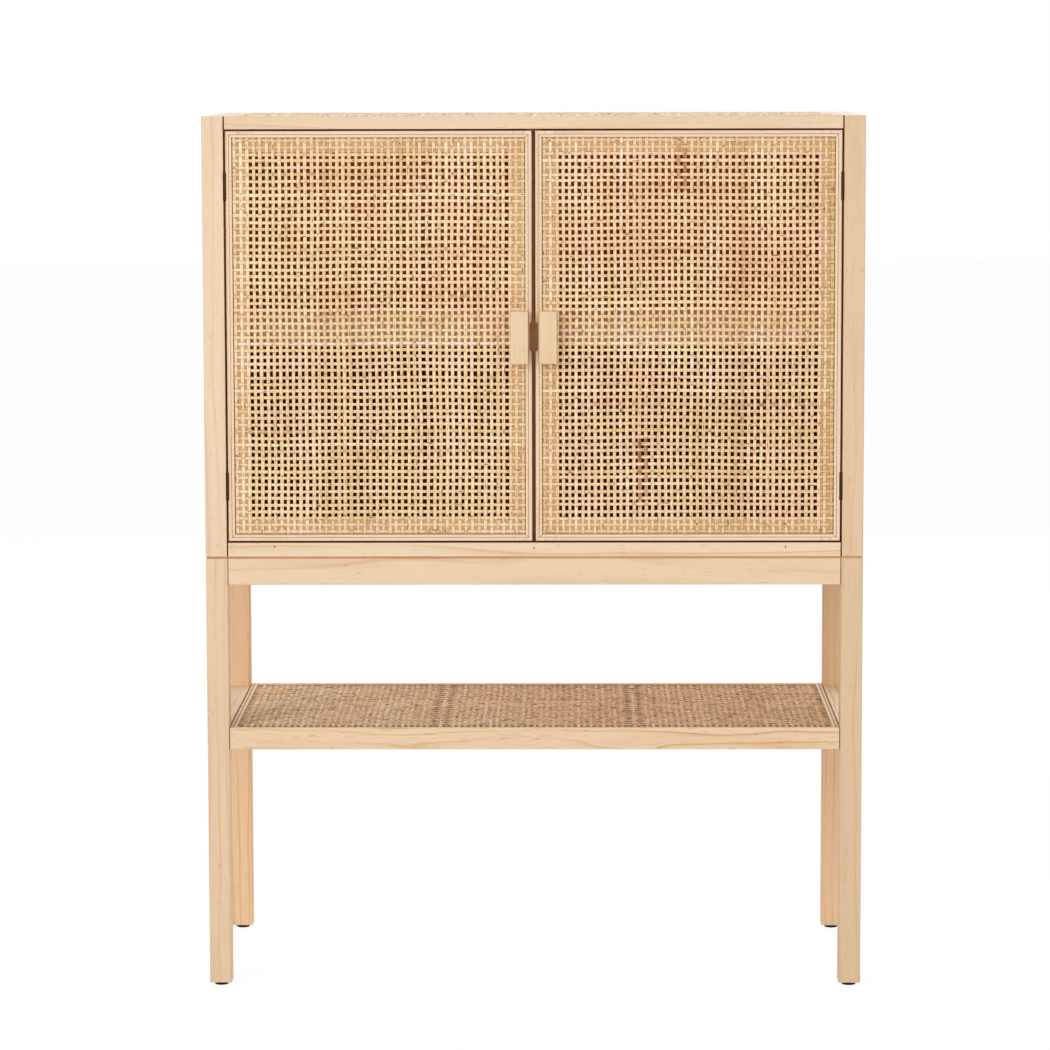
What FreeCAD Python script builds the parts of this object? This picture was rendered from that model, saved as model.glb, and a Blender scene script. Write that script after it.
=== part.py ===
import FreeCAD, Part
import math
import os

# Record cabinet: a two-door box of pine and woven cane on an open pine stand with one low shelf.
# Millimetres, +Z up, doors facing -Y. The origin is on the floor, under the middle of the whole
# cabinet with its door handles.

# Overall sizes
WIDTH = 900.0
DEPTH = 400.0                # from the front of the posts to the back of the posts
HEIGHT = 1200.0
STAND_HEIGHT = 598.0         # floor to the joint between the stand and the box

# Solid pine stock
POST = 30.0                  # square section of the legs and the corner posts
EASE = 1.0                   # eased long edges of the legs and posts
SEAM = 0.4                   # open joint between the ends of a board or rail and the posts
ARRIS = 0.6                  # eased edges of the boards and rails
GROOVE_HALF = 1.7            # half the height of the V groove where the box meets the stand
GROOVE_DEPTH = 2.4
APRON_HEIGHT = 37.5
APRON_THICKNESS = 20.0
SIDE_RAIL_HEIGHT = 30.0      # rails between the posts at the top and bottom of each side of the box
TENON_LENGTH = 12.0
TENON_THICKNESS = 8.0
TENON_SHOULDER = 5.0         # shoulder above and below each tenon

# Feet
FOOT_HEIGHT = 5.0
FOOT_DIAMETER = 20.0
FOOT_TAPER = 1.5             # how much smaller the radius is at the floor

# Boards
TOP_THICKNESS = 18.0
BOTTOM_THICKNESS = 21.0
SIDE_THICKNESS = 18.0
DIVIDER_THICKNESS = 18.0
BACK_THICKNESS = 5.0
BACK_REBATE = 8.0            # how far the back panel laps over the posts and boards
LOW_SHELF_THICKNESS = 30.0
LOW_SHELF_TOP = 362.0        # floor to the top of the low shelf
INNER_SHELF_THICKNESS = 30.0
INNER_SHELF_SLACK = 1.0      # at each end of an inner shelf
INNER_SHELF_BACK_SLACK = 2.0
INNER_SHELF_SETBACK = 4.0    # behind the closed doors
DIVIDER_SETBACK = 2.0        # behind the closed doors

# Shelf pins, in rows of bored holes
PIN_DIAMETER = 5.0
PIN_DEPTH = 7.0              # in the board
PIN_REACH = 9.0              # under the shelf
PIN_PITCH = 32.0
PIN_HOLES = 3                # in each row; the pins are in the middle one
PIN_SIDES = 6                # pins and bolts are drawn with this many flat sides
PIN_INSET = 50.0             # from the front and back edges of the inner shelf

# Loose tenons and bolts
LOOSE_THICKNESS = 6.0
LOOSE_WIDTH = 40.0
LOOSE_HALF = 14.0            # length in each of the two pieces that it joins
LOOSE_SPACING = 180.0        # between the middles of the two in each joint
BOLT_SPACING = 90.0          # between the two under each side
BOLT_DIAMETER = 6.0
BOLT_REACH = 20.0            # in the bottom rail of the box
BOLT_HEAD_DIAMETER = 11.0
BOLT_HEAD_HEIGHT = 4.0

# Woven cane, and the lip and bead around it
STRIP = 0.8                  # thickness of one cane strip
UPRIGHT_STRIP = 4.8          # width of the strips that run up a door, or front to back
LEVEL_STRIP = 4.4            # width of the strips that run across
UPRIGHT_PITCH = 8.7
LEVEL_PITCH = 9.2
LIP = 4.5                    # wood left outside the sunk field that the cane lies in
BEAD_WIDTH = 4.5
BEAD_THICKNESS = 1.6
HEM = 1.5                    # solid edge of the cane that shows inside the bead

# Doors
DOOR_THICKNESS = 20.0
DOOR_EASE = 0.8              # eased front edges of each door
DOOR_FRAME = 29.0            # width of the stiles and rails
DOOR_GAP = 2.0               # above, below and at the hinge side
MEETING_GAP = 5.0            # between the two doors

# Finger notch and handles
NOTCH_HEIGHT = 42.0
NOTCH_DEPTH = 3.3
HANDLE_WIDTH = 24.0
HANDLE_HEIGHT = 71.0
HANDLE_PROUD = 20.0          # from the front of the door
HANDLE_INSET = 5.0           # from the meeting edge
HANDLE_EASE = 1.2

# Butt hinges
HINGE_HEIGHT = 38.0
HINGE_LEAF = 0.9             # thickness
HINGE_LEAF_WIDTH = 16.0
HINGE_INSET = 56.0           # from the end of the door to the near end of the hinge
HINGE_PIN_DIAMETER = 1.9
HINGE_PLAY = 0.05            # radial, between the pin and the door's knuckles
HINGE_PROUD = 0.5            # pin's axis in front of the door
KNUCKLES = 5
KNUCKLE_GAP = 0.5
KNUCKLE_SIDES = 8            # knuckles are drawn with this many flat sides around the round pin

# Magnetic catches
CATCH_LENGTH = 46.0
CATCH_DEPTH = 14.0
CATCH_HEIGHT = 15.0
CATCH_GAP = 0.5              # between the magnet and the strike plate
CATCH_INSET = 4.0            # from the divider
STRIKE_LENGTH = 38.0
STRIKE_HEIGHT = 10.0
STRIKE_THICKNESS = 1.5

# Places worked out from the sizes
FRONT = (HANDLE_PROUD - DEPTH) / 2
BACK = FRONT + DEPTH
INSIDE_X = WIDTH / 2 - POST
FRAME_BACK_Y = BACK - POST
FRAME_FRONT_Y = FRONT + POST
BOX_FLOOR = STAND_HEIGHT + BOTTOM_THICKNESS
BOX_CEILING = HEIGHT - TOP_THICKNESS
DOOR_BOTTOM = BOX_FLOOR + DOOR_GAP
DOOR_TOP = BOX_CEILING - DOOR_GAP
DOOR_MIDDLE = (DOOR_BOTTOM + DOOR_TOP) / 2
DOOR_OUTER_X = INSIDE_X - DOOR_GAP
DOOR_INNER_X = MEETING_GAP / 2
DOOR_BACK_Y = FRONT + DOOR_THICKNESS
FIELD_DEPTH = 2 * STRIP + BEAD_THICKNESS
SHELF_MIDDLE = (BOX_FLOOR + BOX_CEILING) / 2
HINGE_X = INSIDE_X - DOOR_GAP / 2
HINGE_Y = FRONT - HINGE_PROUD
KNUCKLE_RADIUS = DOOR_GAP / 2 + HINGE_LEAF

V = FreeCAD.Vector


def box(x0, x1, y0, y1, z0, z1):
    return Part.makeBox(x1 - x0, y1 - y0, z1 - z0, V(x0, y0, z0))


def prism(reach, sides, start, end):
    """A many-sided rod whose flats are `reach` from its axis, with flats square to the main axes."""
    run = end - start
    corner = reach / math.cos(math.pi / sides)
    turns = [2 * math.pi * (index + 0.5) / sides for index in range(sides)]
    points = [V(corner * math.cos(turn), corner * math.sin(turn), 0) for turn in turns]
    rod = Part.Face(Part.makePolygon(points + points[:1])).extrude(V(0, 0, run.Length))
    rod.Placement = FreeCAD.Placement(start, FreeCAD.Rotation(V(0, 0, 1), run))
    return rod


def flip_x(shape):
    """The same piece on the other side of the cabinet."""
    return shape.mirror(V(0, 0, 0), V(1, 0, 0))


def flip_y(shape):
    """The same piece at the other end of the depth."""
    return shape.mirror(V(0, (FRONT + BACK) / 2, 0), V(0, 1, 0))


def both_sides(shapes):
    return shapes + [flip_x(shape) for shape in shapes]


def save(node, *solids):
    shape = solids[0] if len(solids) == 1 else Part.makeCompound(list(solids))
    shape.exportStep("parts/" + node + ".step")


def eased_bar(x0, x1, y0, y1, z0, z1):
    """An upright bar with its four long edges eased."""
    bar = box(x0, x1, y0, y1, z0, z1)
    long_edges = [edge for edge in bar.Edges if abs(edge.Length - (z1 - z0)) < 0.01]
    return bar.makeChamfer(EASE, long_edges)


def groove_cutters():
    """Four V-shaped bars that cut the groove around the joint between the box and the stand."""
    x, z = WIDTH / 2, STAND_HEIGHT
    low, high = z - GROOVE_HALF, z + GROOVE_HALF
    front = [V(-x, FRONT, low), V(-x, FRONT, high), V(-x, FRONT + GROOVE_DEPTH, z)]
    side = [V(x, FRONT, low), V(x, FRONT, high), V(x - GROOVE_DEPTH, FRONT, z)]
    front_bar = Part.Face(Part.makePolygon(front + front[:1])).extrude(V(WIDTH, 0, 0))
    side_bar = Part.Face(Part.makePolygon(side + side[:1])).extrude(V(0, DEPTH, 0))
    return [front_bar, flip_y(front_bar), side_bar, flip_x(side_bar)]


def eased_board(x0, x1, y0, y1, z0, z1):
    """A board with all its edges eased."""
    board = box(x0, x1, y0, y1, z0, z1)
    return board.makeChamfer(ARRIS, board.Edges)


def rail_with_tenons(x0, x1, y0, y1, z0, z1, along):
    """A rail between two posts, with a stub tenon at each end."""
    z_low, z_high = z0 + TENON_SHOULDER, z1 - TENON_SHOULDER
    if along == "x":
        rail = eased_board(x0 + SEAM, x1 - SEAM, y0, y1, z0, z1)
        middle = (y0 + y1) / 2
        tenons = box(x0 - TENON_LENGTH, x1 + TENON_LENGTH, middle - TENON_THICKNESS / 2,
                     middle + TENON_THICKNESS / 2, z_low, z_high)
    else:
        rail = eased_board(x0, x1, y0 + SEAM, y1 - SEAM, z0, z1)
        middle = (x0 + x1) / 2
        tenons = box(middle - TENON_THICKNESS / 2, middle + TENON_THICKNESS / 2,
                     y0 - TENON_LENGTH, y1 + TENON_LENGTH, z_low, z_high)
    return rail.fuse(tenons).removeSplitter()


# ---------------------------------------------------------------- woven cane and bead

def strips_layer(width, height, strip, pitch, level, place):
    """One layer of cane strips as a plate with a long slot between each strip and the next.

    The plate lies on the panel's own plane, centred, with its back at `level` strip thicknesses.
    Its solid edge runs under the bead, which holds it down.
    """
    edge = BEAD_WIDTH + HEM
    slots = int((width - 2 * edge + strip) / pitch)
    base = level * STRIP
    outline = Part.makePolygon([V(-width / 2, -height / 2, base), V(width / 2, -height / 2, base),
                                V(width / 2, height / 2, base), V(-width / 2, height / 2, base),
                                V(-width / 2, -height / 2, base)])
    wires = [outline]
    reach = height / 2 - edge
    for index in range(slots):
        x = (index - (slots - 1) / 2) * pitch
        x0, x1 = x - (pitch - strip) / 2, x + (pitch - strip) / 2
        wires.append(Part.makePolygon([V(x0, -reach, base), V(x0, reach, base), V(x1, reach, base),
                                       V(x1, -reach, base), V(x0, -reach, base)]))
    plate = Part.makeFace(wires, "Part::FaceMakerBullseye").extrude(V(0, 0, STRIP))
    return plate.transformed(place)


def open_cane(width, height, place):
    """Cane with daylight through it: strips up the panel, and strips across them in front."""
    quarter_turn = FreeCAD.Rotation(V(0, 0, 1), 90)
    across = place.multiply(FreeCAD.Placement(V(0, 0, 0), quarter_turn).toMatrix())
    return [strips_layer(width, height, UPRIGHT_STRIP, UPRIGHT_PITCH, 0, place),
            strips_layer(height, width, LEVEL_STRIP, LEVEL_PITCH, 1, across)]


def backed_cane(width, height, strip, pitch, place):
    """Cane on a board: the under layer is drawn closed, because the board stops the light."""
    under = Part.makeBox(width, height, STRIP, V(-width / 2, -height / 2, 0)).transformed(place)
    return [under, strips_layer(width, height, strip, pitch, 1, place)]


def mitred_bead(width, height, place):
    """Four strips, mitred at the corners, nailed over the edge of the cane."""
    x, y, bead, base = width / 2, height / 2, BEAD_WIDTH, 2 * STRIP
    outer = [V(-x, -y, base), V(x, -y, base), V(x, y, base), V(-x, y, base)]
    inner = [V(-x + bead, -y + bead, base), V(x - bead, -y + bead, base),
             V(x - bead, y - bead, base), V(-x + bead, y - bead, base)]
    strips = []
    for side in range(4):
        corners = [outer[side], outer[(side + 1) % 4], inner[(side + 1) % 4], inner[side]]
        face = Part.Face(Part.makePolygon(corners + corners[:1]))
        strips.append(face.extrude(V(0, 0, BEAD_THICKNESS)).transformed(place))
    return strips


def place_on(origin, right, out):
    """The matrix that stands a panel's own plane at `origin`, facing `out`, with +X to `right`."""
    up = out.cross(right)
    return FreeCAD.Matrix(right.x, up.x, out.x, origin.x, right.y, up.y, out.y, origin.y,
                          right.z, up.z, out.z, origin.z, 0, 0, 0, 1)


# ---------------------------------------------------------------- stand

def make_feet():
    """Tapered glides under the legs."""
    x, y, radius = WIDTH / 2 - POST / 2, FRONT + POST / 2, FOOT_DIAMETER / 2
    front = both_sides([Part.makeCone(radius - FOOT_TAPER, radius, FOOT_HEIGHT, V(x, y, 0))])
    return front + [flip_y(shape) for shape in front]


def make_aprons():
    z0, z1 = STAND_HEIGHT - APRON_HEIGHT, STAND_HEIGHT
    front = rail_with_tenons(-INSIDE_X, INSIDE_X, FRONT, FRONT + APRON_THICKNESS, z0, z1, "x")
    right = rail_with_tenons(WIDTH / 2 - APRON_THICKNESS, WIDTH / 2, FRAME_FRONT_Y, FRAME_BACK_Y,
                             z0, z1, "y")
    return front, flip_y(front), flip_x(right), right


def make_low_shelf_rail():
    """The rail beside the right end of the low shelf, flush with its top."""
    return rail_with_tenons(INSIDE_X, WIDTH / 2, FRAME_FRONT_Y, FRAME_BACK_Y,
                            LOW_SHELF_TOP - LOW_SHELF_THICKNESS, LOW_SHELF_TOP, "y")


def make_leg():
    """The front right leg before its joints are cut."""
    return eased_bar(INSIDE_X, WIDTH / 2, FRONT, FRAME_FRONT_Y, FOOT_HEIGHT, STAND_HEIGHT)


# ---------------------------------------------------------------- box

def make_post():
    """The front right corner post before its joints are cut."""
    return eased_bar(INSIDE_X, WIDTH / 2, FRONT, FRAME_FRONT_Y, STAND_HEIGHT, HEIGHT)


def make_side_rails():
    """The top and bottom rails of the right side."""
    spans = [(STAND_HEIGHT, STAND_HEIGHT + SIDE_RAIL_HEIGHT), (HEIGHT - SIDE_RAIL_HEIGHT, HEIGHT)]
    return [rail_with_tenons(INSIDE_X, WIDTH / 2, FRAME_FRONT_Y, FRAME_BACK_Y, z0, z1, "y")
            for z0, z1 in spans]


def back_rebate():
    """The room for the back panel, cut in the posts and boards that it laps over."""
    x = INSIDE_X + BACK_REBATE
    return box(-x, x, BACK - BACK_THICKNESS, BACK, BOX_FLOOR - BACK_REBATE, BOX_CEILING + BACK_REBATE)


def make_loose_tenons():
    """Loose tenons that hold the low shelf, the bottom and the top between their side rails."""
    middle = (FRONT + BACK) / 2
    levels = (LOW_SHELF_TOP - LOW_SHELF_THICKNESS / 2, STAND_HEIGHT + BOTTOM_THICKNESS / 2,
              HEIGHT - (TOP_THICKNESS + FIELD_DEPTH) / 2)
    right = []
    for z in levels:
        for y in (middle - LOOSE_SPACING / 2, middle + LOOSE_SPACING / 2):
            right.append(box(INSIDE_X - LOOSE_HALF, INSIDE_X + LOOSE_HALF, y - LOOSE_WIDTH / 2,
                             y + LOOSE_WIDTH / 2, z - LOOSE_THICKNESS / 2, z + LOOSE_THICKNESS / 2))
    return both_sides(right)


def make_bolts():
    """Bolts up through the side aprons into the bottom rails of the box."""
    x, middle = WIDTH / 2 - APRON_THICKNESS / 2, (FRONT + BACK) / 2
    low = STAND_HEIGHT - APRON_HEIGHT
    right = []
    for y in (middle - BOLT_SPACING / 2, middle + BOLT_SPACING / 2):
        shank = prism(BOLT_DIAMETER / 2, PIN_SIDES, V(x, y, low), V(x, y, STAND_HEIGHT + BOLT_REACH))
        head = prism(BOLT_HEAD_DIAMETER / 2, 6, V(x, y, low - BOLT_HEAD_HEIGHT), V(x, y, low))
        right.append(shank.fuse(head))
    return both_sides(right)


def sunk_board(x0, x1, y0, y1, z0, z1):
    """A board between two posts, with a field sunk in its top for the cane and a lip around it."""
    field = box(x0 + LIP, x1 - LIP, y0 + LIP, y1 - LIP, z1 - FIELD_DEPTH, z1)
    return eased_board(x0 + SEAM, x1 - SEAM, y0, y1, z0, z1).cut(field)


def cane_on_top_of(z, webbing, bead):
    """The cane and bead in the sunk top of a board whose top is at `z`."""
    place = place_on(V(0, (FRONT + BACK) / 2, z - FIELD_DEPTH), V(0, 1, 0), V(0, 0, 1))
    width, height = DEPTH - 2 * LIP, 2 * (INSIDE_X - LIP)
    save(webbing, *backed_cane(width, height, LEVEL_STRIP, LEVEL_PITCH, place))
    save(bead, *mitred_bead(width, height, place))


def make_side_board():
    """The board in the right side, its inner face flush with the posts."""
    return box(INSIDE_X, INSIDE_X + SIDE_THICKNESS, FRAME_FRONT_Y, FRAME_BACK_Y,
               STAND_HEIGHT + SIDE_RAIL_HEIGHT, HEIGHT - SIDE_RAIL_HEIGHT)


def make_side_cane():
    """The cane and bead on the outside of the right side board."""
    height = HEIGHT - STAND_HEIGHT - 2 * SIDE_RAIL_HEIGHT
    middle = (HEIGHT + STAND_HEIGHT) / 2
    place = place_on(V(INSIDE_X + SIDE_THICKNESS, (FRONT + BACK) / 2, middle), V(0, 1, 0), V(1, 0, 0))
    width = DEPTH - 2 * POST
    return (backed_cane(width, height, UPRIGHT_STRIP, UPRIGHT_PITCH, place),
            mitred_bead(width, height, place))


def make_divider():
    return box(-DIVIDER_THICKNESS / 2, DIVIDER_THICKNESS / 2, DOOR_BACK_Y + DIVIDER_SETBACK,
               BACK - BACK_THICKNESS, BOX_FLOOR, BOX_CEILING)


def make_inner_shelf():
    """The right one of the two inner shelves."""
    return box(DIVIDER_THICKNESS / 2 + INNER_SHELF_SLACK, INSIDE_X - INNER_SHELF_SLACK,
               DOOR_BACK_Y + INNER_SHELF_SETBACK, BACK - BACK_THICKNESS - INNER_SHELF_BACK_SLACK,
               SHELF_MIDDLE - INNER_SHELF_THICKNESS / 2, SHELF_MIDDLE + INNER_SHELF_THICKNESS / 2)


def pin_places():
    """Depth of each row of pin holes."""
    return (DOOR_BACK_Y + INNER_SHELF_SETBACK + PIN_INSET,
            BACK - BACK_THICKNESS - INNER_SHELF_BACK_SLACK - PIN_INSET)


def pin_height():
    """Height of the pins: the shelf rests on top of them."""
    return SHELF_MIDDLE - INNER_SHELF_THICKNESS / 2 - PIN_DIAMETER / 2


def make_pin_holes():
    """Rows of holes in the divider and the side board, on the right."""
    holes = []
    for y in pin_places():
        for index in range(PIN_HOLES):
            z = pin_height() + (index - (PIN_HOLES - 1) / 2) * PIN_PITCH
            for wall, sign in ((DIVIDER_THICKNESS / 2, -1), (INSIDE_X, 1)):
                holes.append(prism(PIN_DIAMETER / 2, PIN_SIDES, V(wall, y, z),
                                   V(wall + sign * PIN_DEPTH, y, z)))
    return holes


def make_pins():
    pins = []
    for y in pin_places():
        z = pin_height()
        for wall, sign in ((DIVIDER_THICKNESS / 2, -1), (INSIDE_X, 1)):
            pins.append(prism(PIN_DIAMETER / 2, PIN_SIDES, V(wall + sign * PIN_DEPTH, y, z),
                              V(wall - sign * PIN_REACH, y, z)))
    return both_sides(pins)


def make_catch():
    """Magnetic catch under the top, beside the divider, on the right."""
    x = DIVIDER_THICKNESS / 2 + CATCH_INSET
    y = DOOR_BACK_Y + STRIKE_THICKNESS + CATCH_GAP
    return box(x, x + CATCH_LENGTH, y, y + CATCH_DEPTH, BOX_CEILING - CATCH_HEIGHT, BOX_CEILING)


# ---------------------------------------------------------------- right door

def finger_notch():
    """The notch in the meeting edge, with ends cut at 45 degrees."""
    x, half = DOOR_INNER_X, NOTCH_HEIGHT / 2
    points = [V(x, FRONT, DOOR_MIDDLE - half), V(x + NOTCH_DEPTH, FRONT, DOOR_MIDDLE - half + NOTCH_DEPTH),
              V(x + NOTCH_DEPTH, FRONT, DOOR_MIDDLE + half - NOTCH_DEPTH), V(x, FRONT, DOOR_MIDDLE + half)]
    return Part.Face(Part.makePolygon(points + points[:1])).extrude(V(0, DOOR_THICKNESS, 0))


def hinge_heights():
    """Bottom of each of a door's two hinges."""
    return (DOOR_BOTTOM + HINGE_INSET, DOOR_TOP - HINGE_INSET - HINGE_HEIGHT)


def barrel_rod(reach, low, high):
    """A rod on the hinge's axis between two heights."""
    return prism(reach, KNUCKLE_SIDES, V(HINGE_X, HINGE_Y, low), V(HINGE_X, HINGE_Y, high))


def leaf_room(sign):
    """Mortises for the leaves and barrels: sign 1 is the post's side of the gap, -1 the door's."""
    rooms = []
    for z in hinge_heights():
        near, far = sorted((HINGE_X, HINGE_X + sign * KNUCKLE_RADIUS))
        rooms.append(box(near, far, FRONT, FRONT + HINGE_LEAF_WIDTH, z, z + HINGE_HEIGHT))
        rooms.append(barrel_rod(KNUCKLE_RADIUS + KNUCKLE_GAP, z, z + HINGE_HEIGHT))
    return rooms


def make_leaves(sign, bore, first):
    """The hinge leaves on one side of the gap, each with every other knuckle from `first` on."""
    pitch = HINGE_HEIGHT / KNUCKLES
    near, far = sorted((HINGE_X + sign * KNUCKLE_RADIUS, HINGE_X + sign * DOOR_GAP / 2))
    leaves = []
    for z in hinge_heights():
        plate = box(near, far, HINGE_Y, FRONT + HINGE_LEAF_WIDTH, z, z + HINGE_HEIGHT)
        leaf = plate.fuse(barrel_rod(KNUCKLE_RADIUS, z, z + HINGE_HEIGHT))
        clearing = [barrel_rod(bore, z, z + HINGE_HEIGHT)]
        for index in range(KNUCKLES):
            if index % 2 != first:
                low = z + index * pitch - KNUCKLE_GAP / 2
                clearing.append(barrel_rod(KNUCKLE_RADIUS + KNUCKLE_GAP, low, low + pitch + KNUCKLE_GAP))
        leaves.append(leaf.cut(clearing).removeSplitter())
    return leaves


def make_hinge_pins():
    return [Part.makeCylinder(HINGE_PIN_DIAMETER / 2, HINGE_HEIGHT, V(HINGE_X, HINGE_Y, z))
            for z in hinge_heights()]


def make_door_frame():
    """Hinge stile, meeting stile, bottom rail and top rail, with the sunk field for the cane."""
    y0, y1, z0, z1 = FRONT, DOOR_BACK_Y, DOOR_BOTTOM, DOOR_TOP
    hinge_stile = box(DOOR_OUTER_X - DOOR_FRAME, DOOR_OUTER_X, y0, y1, z0, z1)
    meeting_stile = box(DOOR_INNER_X, DOOR_INNER_X + DOOR_FRAME, y0, y1, z0, z1)
    left, right = DOOR_INNER_X + DOOR_FRAME, DOOR_OUTER_X - DOOR_FRAME
    slab = box(DOOR_INNER_X, DOOR_OUTER_X, y0, y1, z0, z1)
    front_edges = [edge for edge in slab.Edges if all(abs(vertex.Y - y0) < 0.01 for vertex in edge.Vertexes)]
    waste = slab.cut(slab.makeChamfer(DOOR_EASE, front_edges))
    rails = []
    for low in (z0, z1 - DOOR_FRAME):
        rail = box(left, right, y0, y1, low, low + DOOR_FRAME)
        middle = (y0 + FIELD_DEPTH + y1) / 2
        tenons = box(left - TENON_LENGTH, right + TENON_LENGTH, middle - TENON_THICKNESS / 2,
                     middle + TENON_THICKNESS / 2, low + TENON_SHOULDER, low + DOOR_FRAME - TENON_SHOULDER)
        rails.append(rail.fuse(tenons).removeSplitter())
    field = box(DOOR_INNER_X + LIP, DOOR_OUTER_X - LIP, y0, y0 + FIELD_DEPTH, z0 + LIP, z1 - LIP)
    hinge_stile = hinge_stile.cut([field, waste] + rails + leaf_room(-1))
    meeting_stile = meeting_stile.cut([field, waste, finger_notch()] + rails)
    return hinge_stile, meeting_stile, rails[0].cut([field, waste]), rails[1].cut([field, waste])


def make_handle(bead):
    """A block seated on the cane, and cut away over the bead."""
    x0 = DOOR_INNER_X + HANDLE_INSET
    x1 = x0 + HANDLE_WIDTH
    y0, y1 = FRONT - HANDLE_PROUD, FRONT + BEAD_THICKNESS
    block = box(x0, x1, y0, y1, DOOR_MIDDLE - HANDLE_HEIGHT / 2, DOOR_MIDDLE + HANDLE_HEIGHT / 2)
    front_edges = [edge for edge in block.Edges
                   if all(abs(vertex.Y - y0) < 0.01 for vertex in edge.Vertexes)]
    return block.makeChamfer(HANDLE_EASE, front_edges).cut(bead)


def make_strike():
    """Steel plate on the back of the right door, facing the catch."""
    middle = DIVIDER_THICKNESS / 2 + CATCH_INSET + CATCH_LENGTH / 2
    top = BOX_CEILING - (CATCH_HEIGHT - STRIKE_HEIGHT) / 2
    low = min(top, DOOR_TOP) - STRIKE_HEIGHT
    return box(middle - STRIKE_LENGTH / 2, middle + STRIKE_LENGTH / 2, DOOR_BACK_Y,
               DOOR_BACK_Y + STRIKE_THICKNESS, low, low + STRIKE_HEIGHT)


def make_right_door():
    """Every piece of the right door by its name."""
    width, height = DOOR_OUTER_X - DOOR_INNER_X - 2 * LIP, DOOR_TOP - DOOR_BOTTOM - 2 * LIP
    place = place_on(V((DOOR_OUTER_X + DOOR_INNER_X) / 2, FRONT + FIELD_DEPTH, DOOR_MIDDLE),
                     V(1, 0, 0), V(0, -1, 0))
    bead = mitred_bead(width, height, place)
    hinge_stile, meeting_stile, bottom_rail, top_rail = make_door_frame()
    bore = HINGE_PIN_DIAMETER / 2 + HINGE_PLAY
    return {
        "hinge_stile": [hinge_stile],
        "meeting_stile": [meeting_stile],
        "bottom_rail": [bottom_rail],
        "top_rail": [top_rail],
        "webbing": open_cane(width, height, place),
        "bead": bead,
        "handle": [make_handle(bead)],
        "strike_plate": [make_strike()],
        "hinge_leaves": make_leaves(-1, bore, 1),
    }


# ---------------------------------------------------------------- the whole cabinet

def build_stand(groove, tenons, bolts):
    feet = make_feet()
    save("foot_glides", *feet)
    front, back, left, right = make_aprons()
    save("apron_front", front.cut(groove))
    save("apron_back", back.cut(groove))
    save("apron_left", left.cut(groove + bolts))
    save("apron_right", right.cut(groove + bolts))
    rails = both_sides([make_low_shelf_rail()])
    save("low_shelf_rail_right", rails[0].cut(tenons))
    save("low_shelf_rail_left", rails[1].cut(tenons))
    leg = make_leg()
    legs = {"front_right": leg, "front_left": flip_x(leg), "back_right": flip_y(leg),
            "back_left": flip_y(flip_x(leg))}
    for name, shape in legs.items():
        save("leg_" + name, shape.cut(groove + [front, back, left, right] + rails))
    shelf = sunk_board(-INSIDE_X, INSIDE_X, FRONT, BACK, LOW_SHELF_TOP - LOW_SHELF_THICKNESS, LOW_SHELF_TOP)
    save("low_shelf_board", shelf.cut(tenons))
    cane_on_top_of(LOW_SHELF_TOP, "low_shelf_webbing", "low_shelf_bead")


def build_box(groove, tenons, bolts):
    low_rail, high_rail = make_side_rails()
    rebate = back_rebate()
    post = make_post()
    posts = {"front_right": post, "front_left": flip_x(post), "back_right": flip_y(post),
             "back_left": flip_y(flip_x(post))}
    for name, shape in posts.items():
        rooms = both_sides(leaf_room(1)) if name.startswith("front") else [rebate]
        save("post_" + name, shape.cut(groove + both_sides([low_rail, high_rail]) + rooms))
    low_rail = low_rail.cut(groove + tenons + bolts)
    high_rail = high_rail.cut(tenons)
    save("side_bottom_rail_right", low_rail)
    save("side_bottom_rail_left", flip_x(low_rail))
    save("side_top_rail_right", high_rail)
    save("side_top_rail_left", flip_x(high_rail))
    top = sunk_board(-INSIDE_X, INSIDE_X, FRONT, BACK, BOX_CEILING, HEIGHT)
    save("top_board", top.cut([rebate] + tenons))
    cane_on_top_of(HEIGHT, "top_webbing", "top_bead")
    bottom = eased_board(SEAM - INSIDE_X, INSIDE_X - SEAM, FRONT, BACK, STAND_HEIGHT, BOX_FLOOR)
    save("bottom_board", bottom.cut(groove + [rebate] + tenons))
    save("back_panel", rebate)
    pin_holes = both_sides(make_pin_holes())
    side = make_side_board().cut(pin_holes)
    save("side_board_right", side)
    save("side_board_left", flip_x(side))
    cane, bead = make_side_cane()
    save("side_webbing_right", *cane)
    save("side_webbing_left", *[flip_x(shape) for shape in cane])
    save("side_bead_right", *bead)
    save("side_bead_left", *[flip_x(shape) for shape in bead])
    save("centre_divider", make_divider().cut(pin_holes))
    shelf = make_inner_shelf()
    save("inner_shelf_right", shelf)
    save("inner_shelf_left", flip_x(shelf))
    save("shelf_pins", *make_pins())
    save("door_catches", *both_sides([make_catch()]))
    save("hinge_frame_leaves", *both_sides(make_leaves(1, HINGE_PIN_DIAMETER / 2, 0)))
    save("hinge_pins", *both_sides(make_hinge_pins()))


def build_doors():
    for piece, solids in make_right_door().items():
        save("door_right_" + piece, *solids)
        save("door_left_" + piece, *[flip_x(solid) for solid in solids])


os.makedirs("parts", exist_ok=True)
groove_bars = groove_cutters()
loose_tenons = make_loose_tenons()
frame_bolts = make_bolts()
save("loose_tenons", *loose_tenons)
save("frame_bolts", *frame_bolts)
build_stand(groove_bars, loose_tenons, frame_bolts)
build_box(groove_bars, loose_tenons, frame_bolts)
build_doors()
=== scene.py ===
import math

import bpy
import numpy as np
from mathutils import Matrix, Vector


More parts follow.
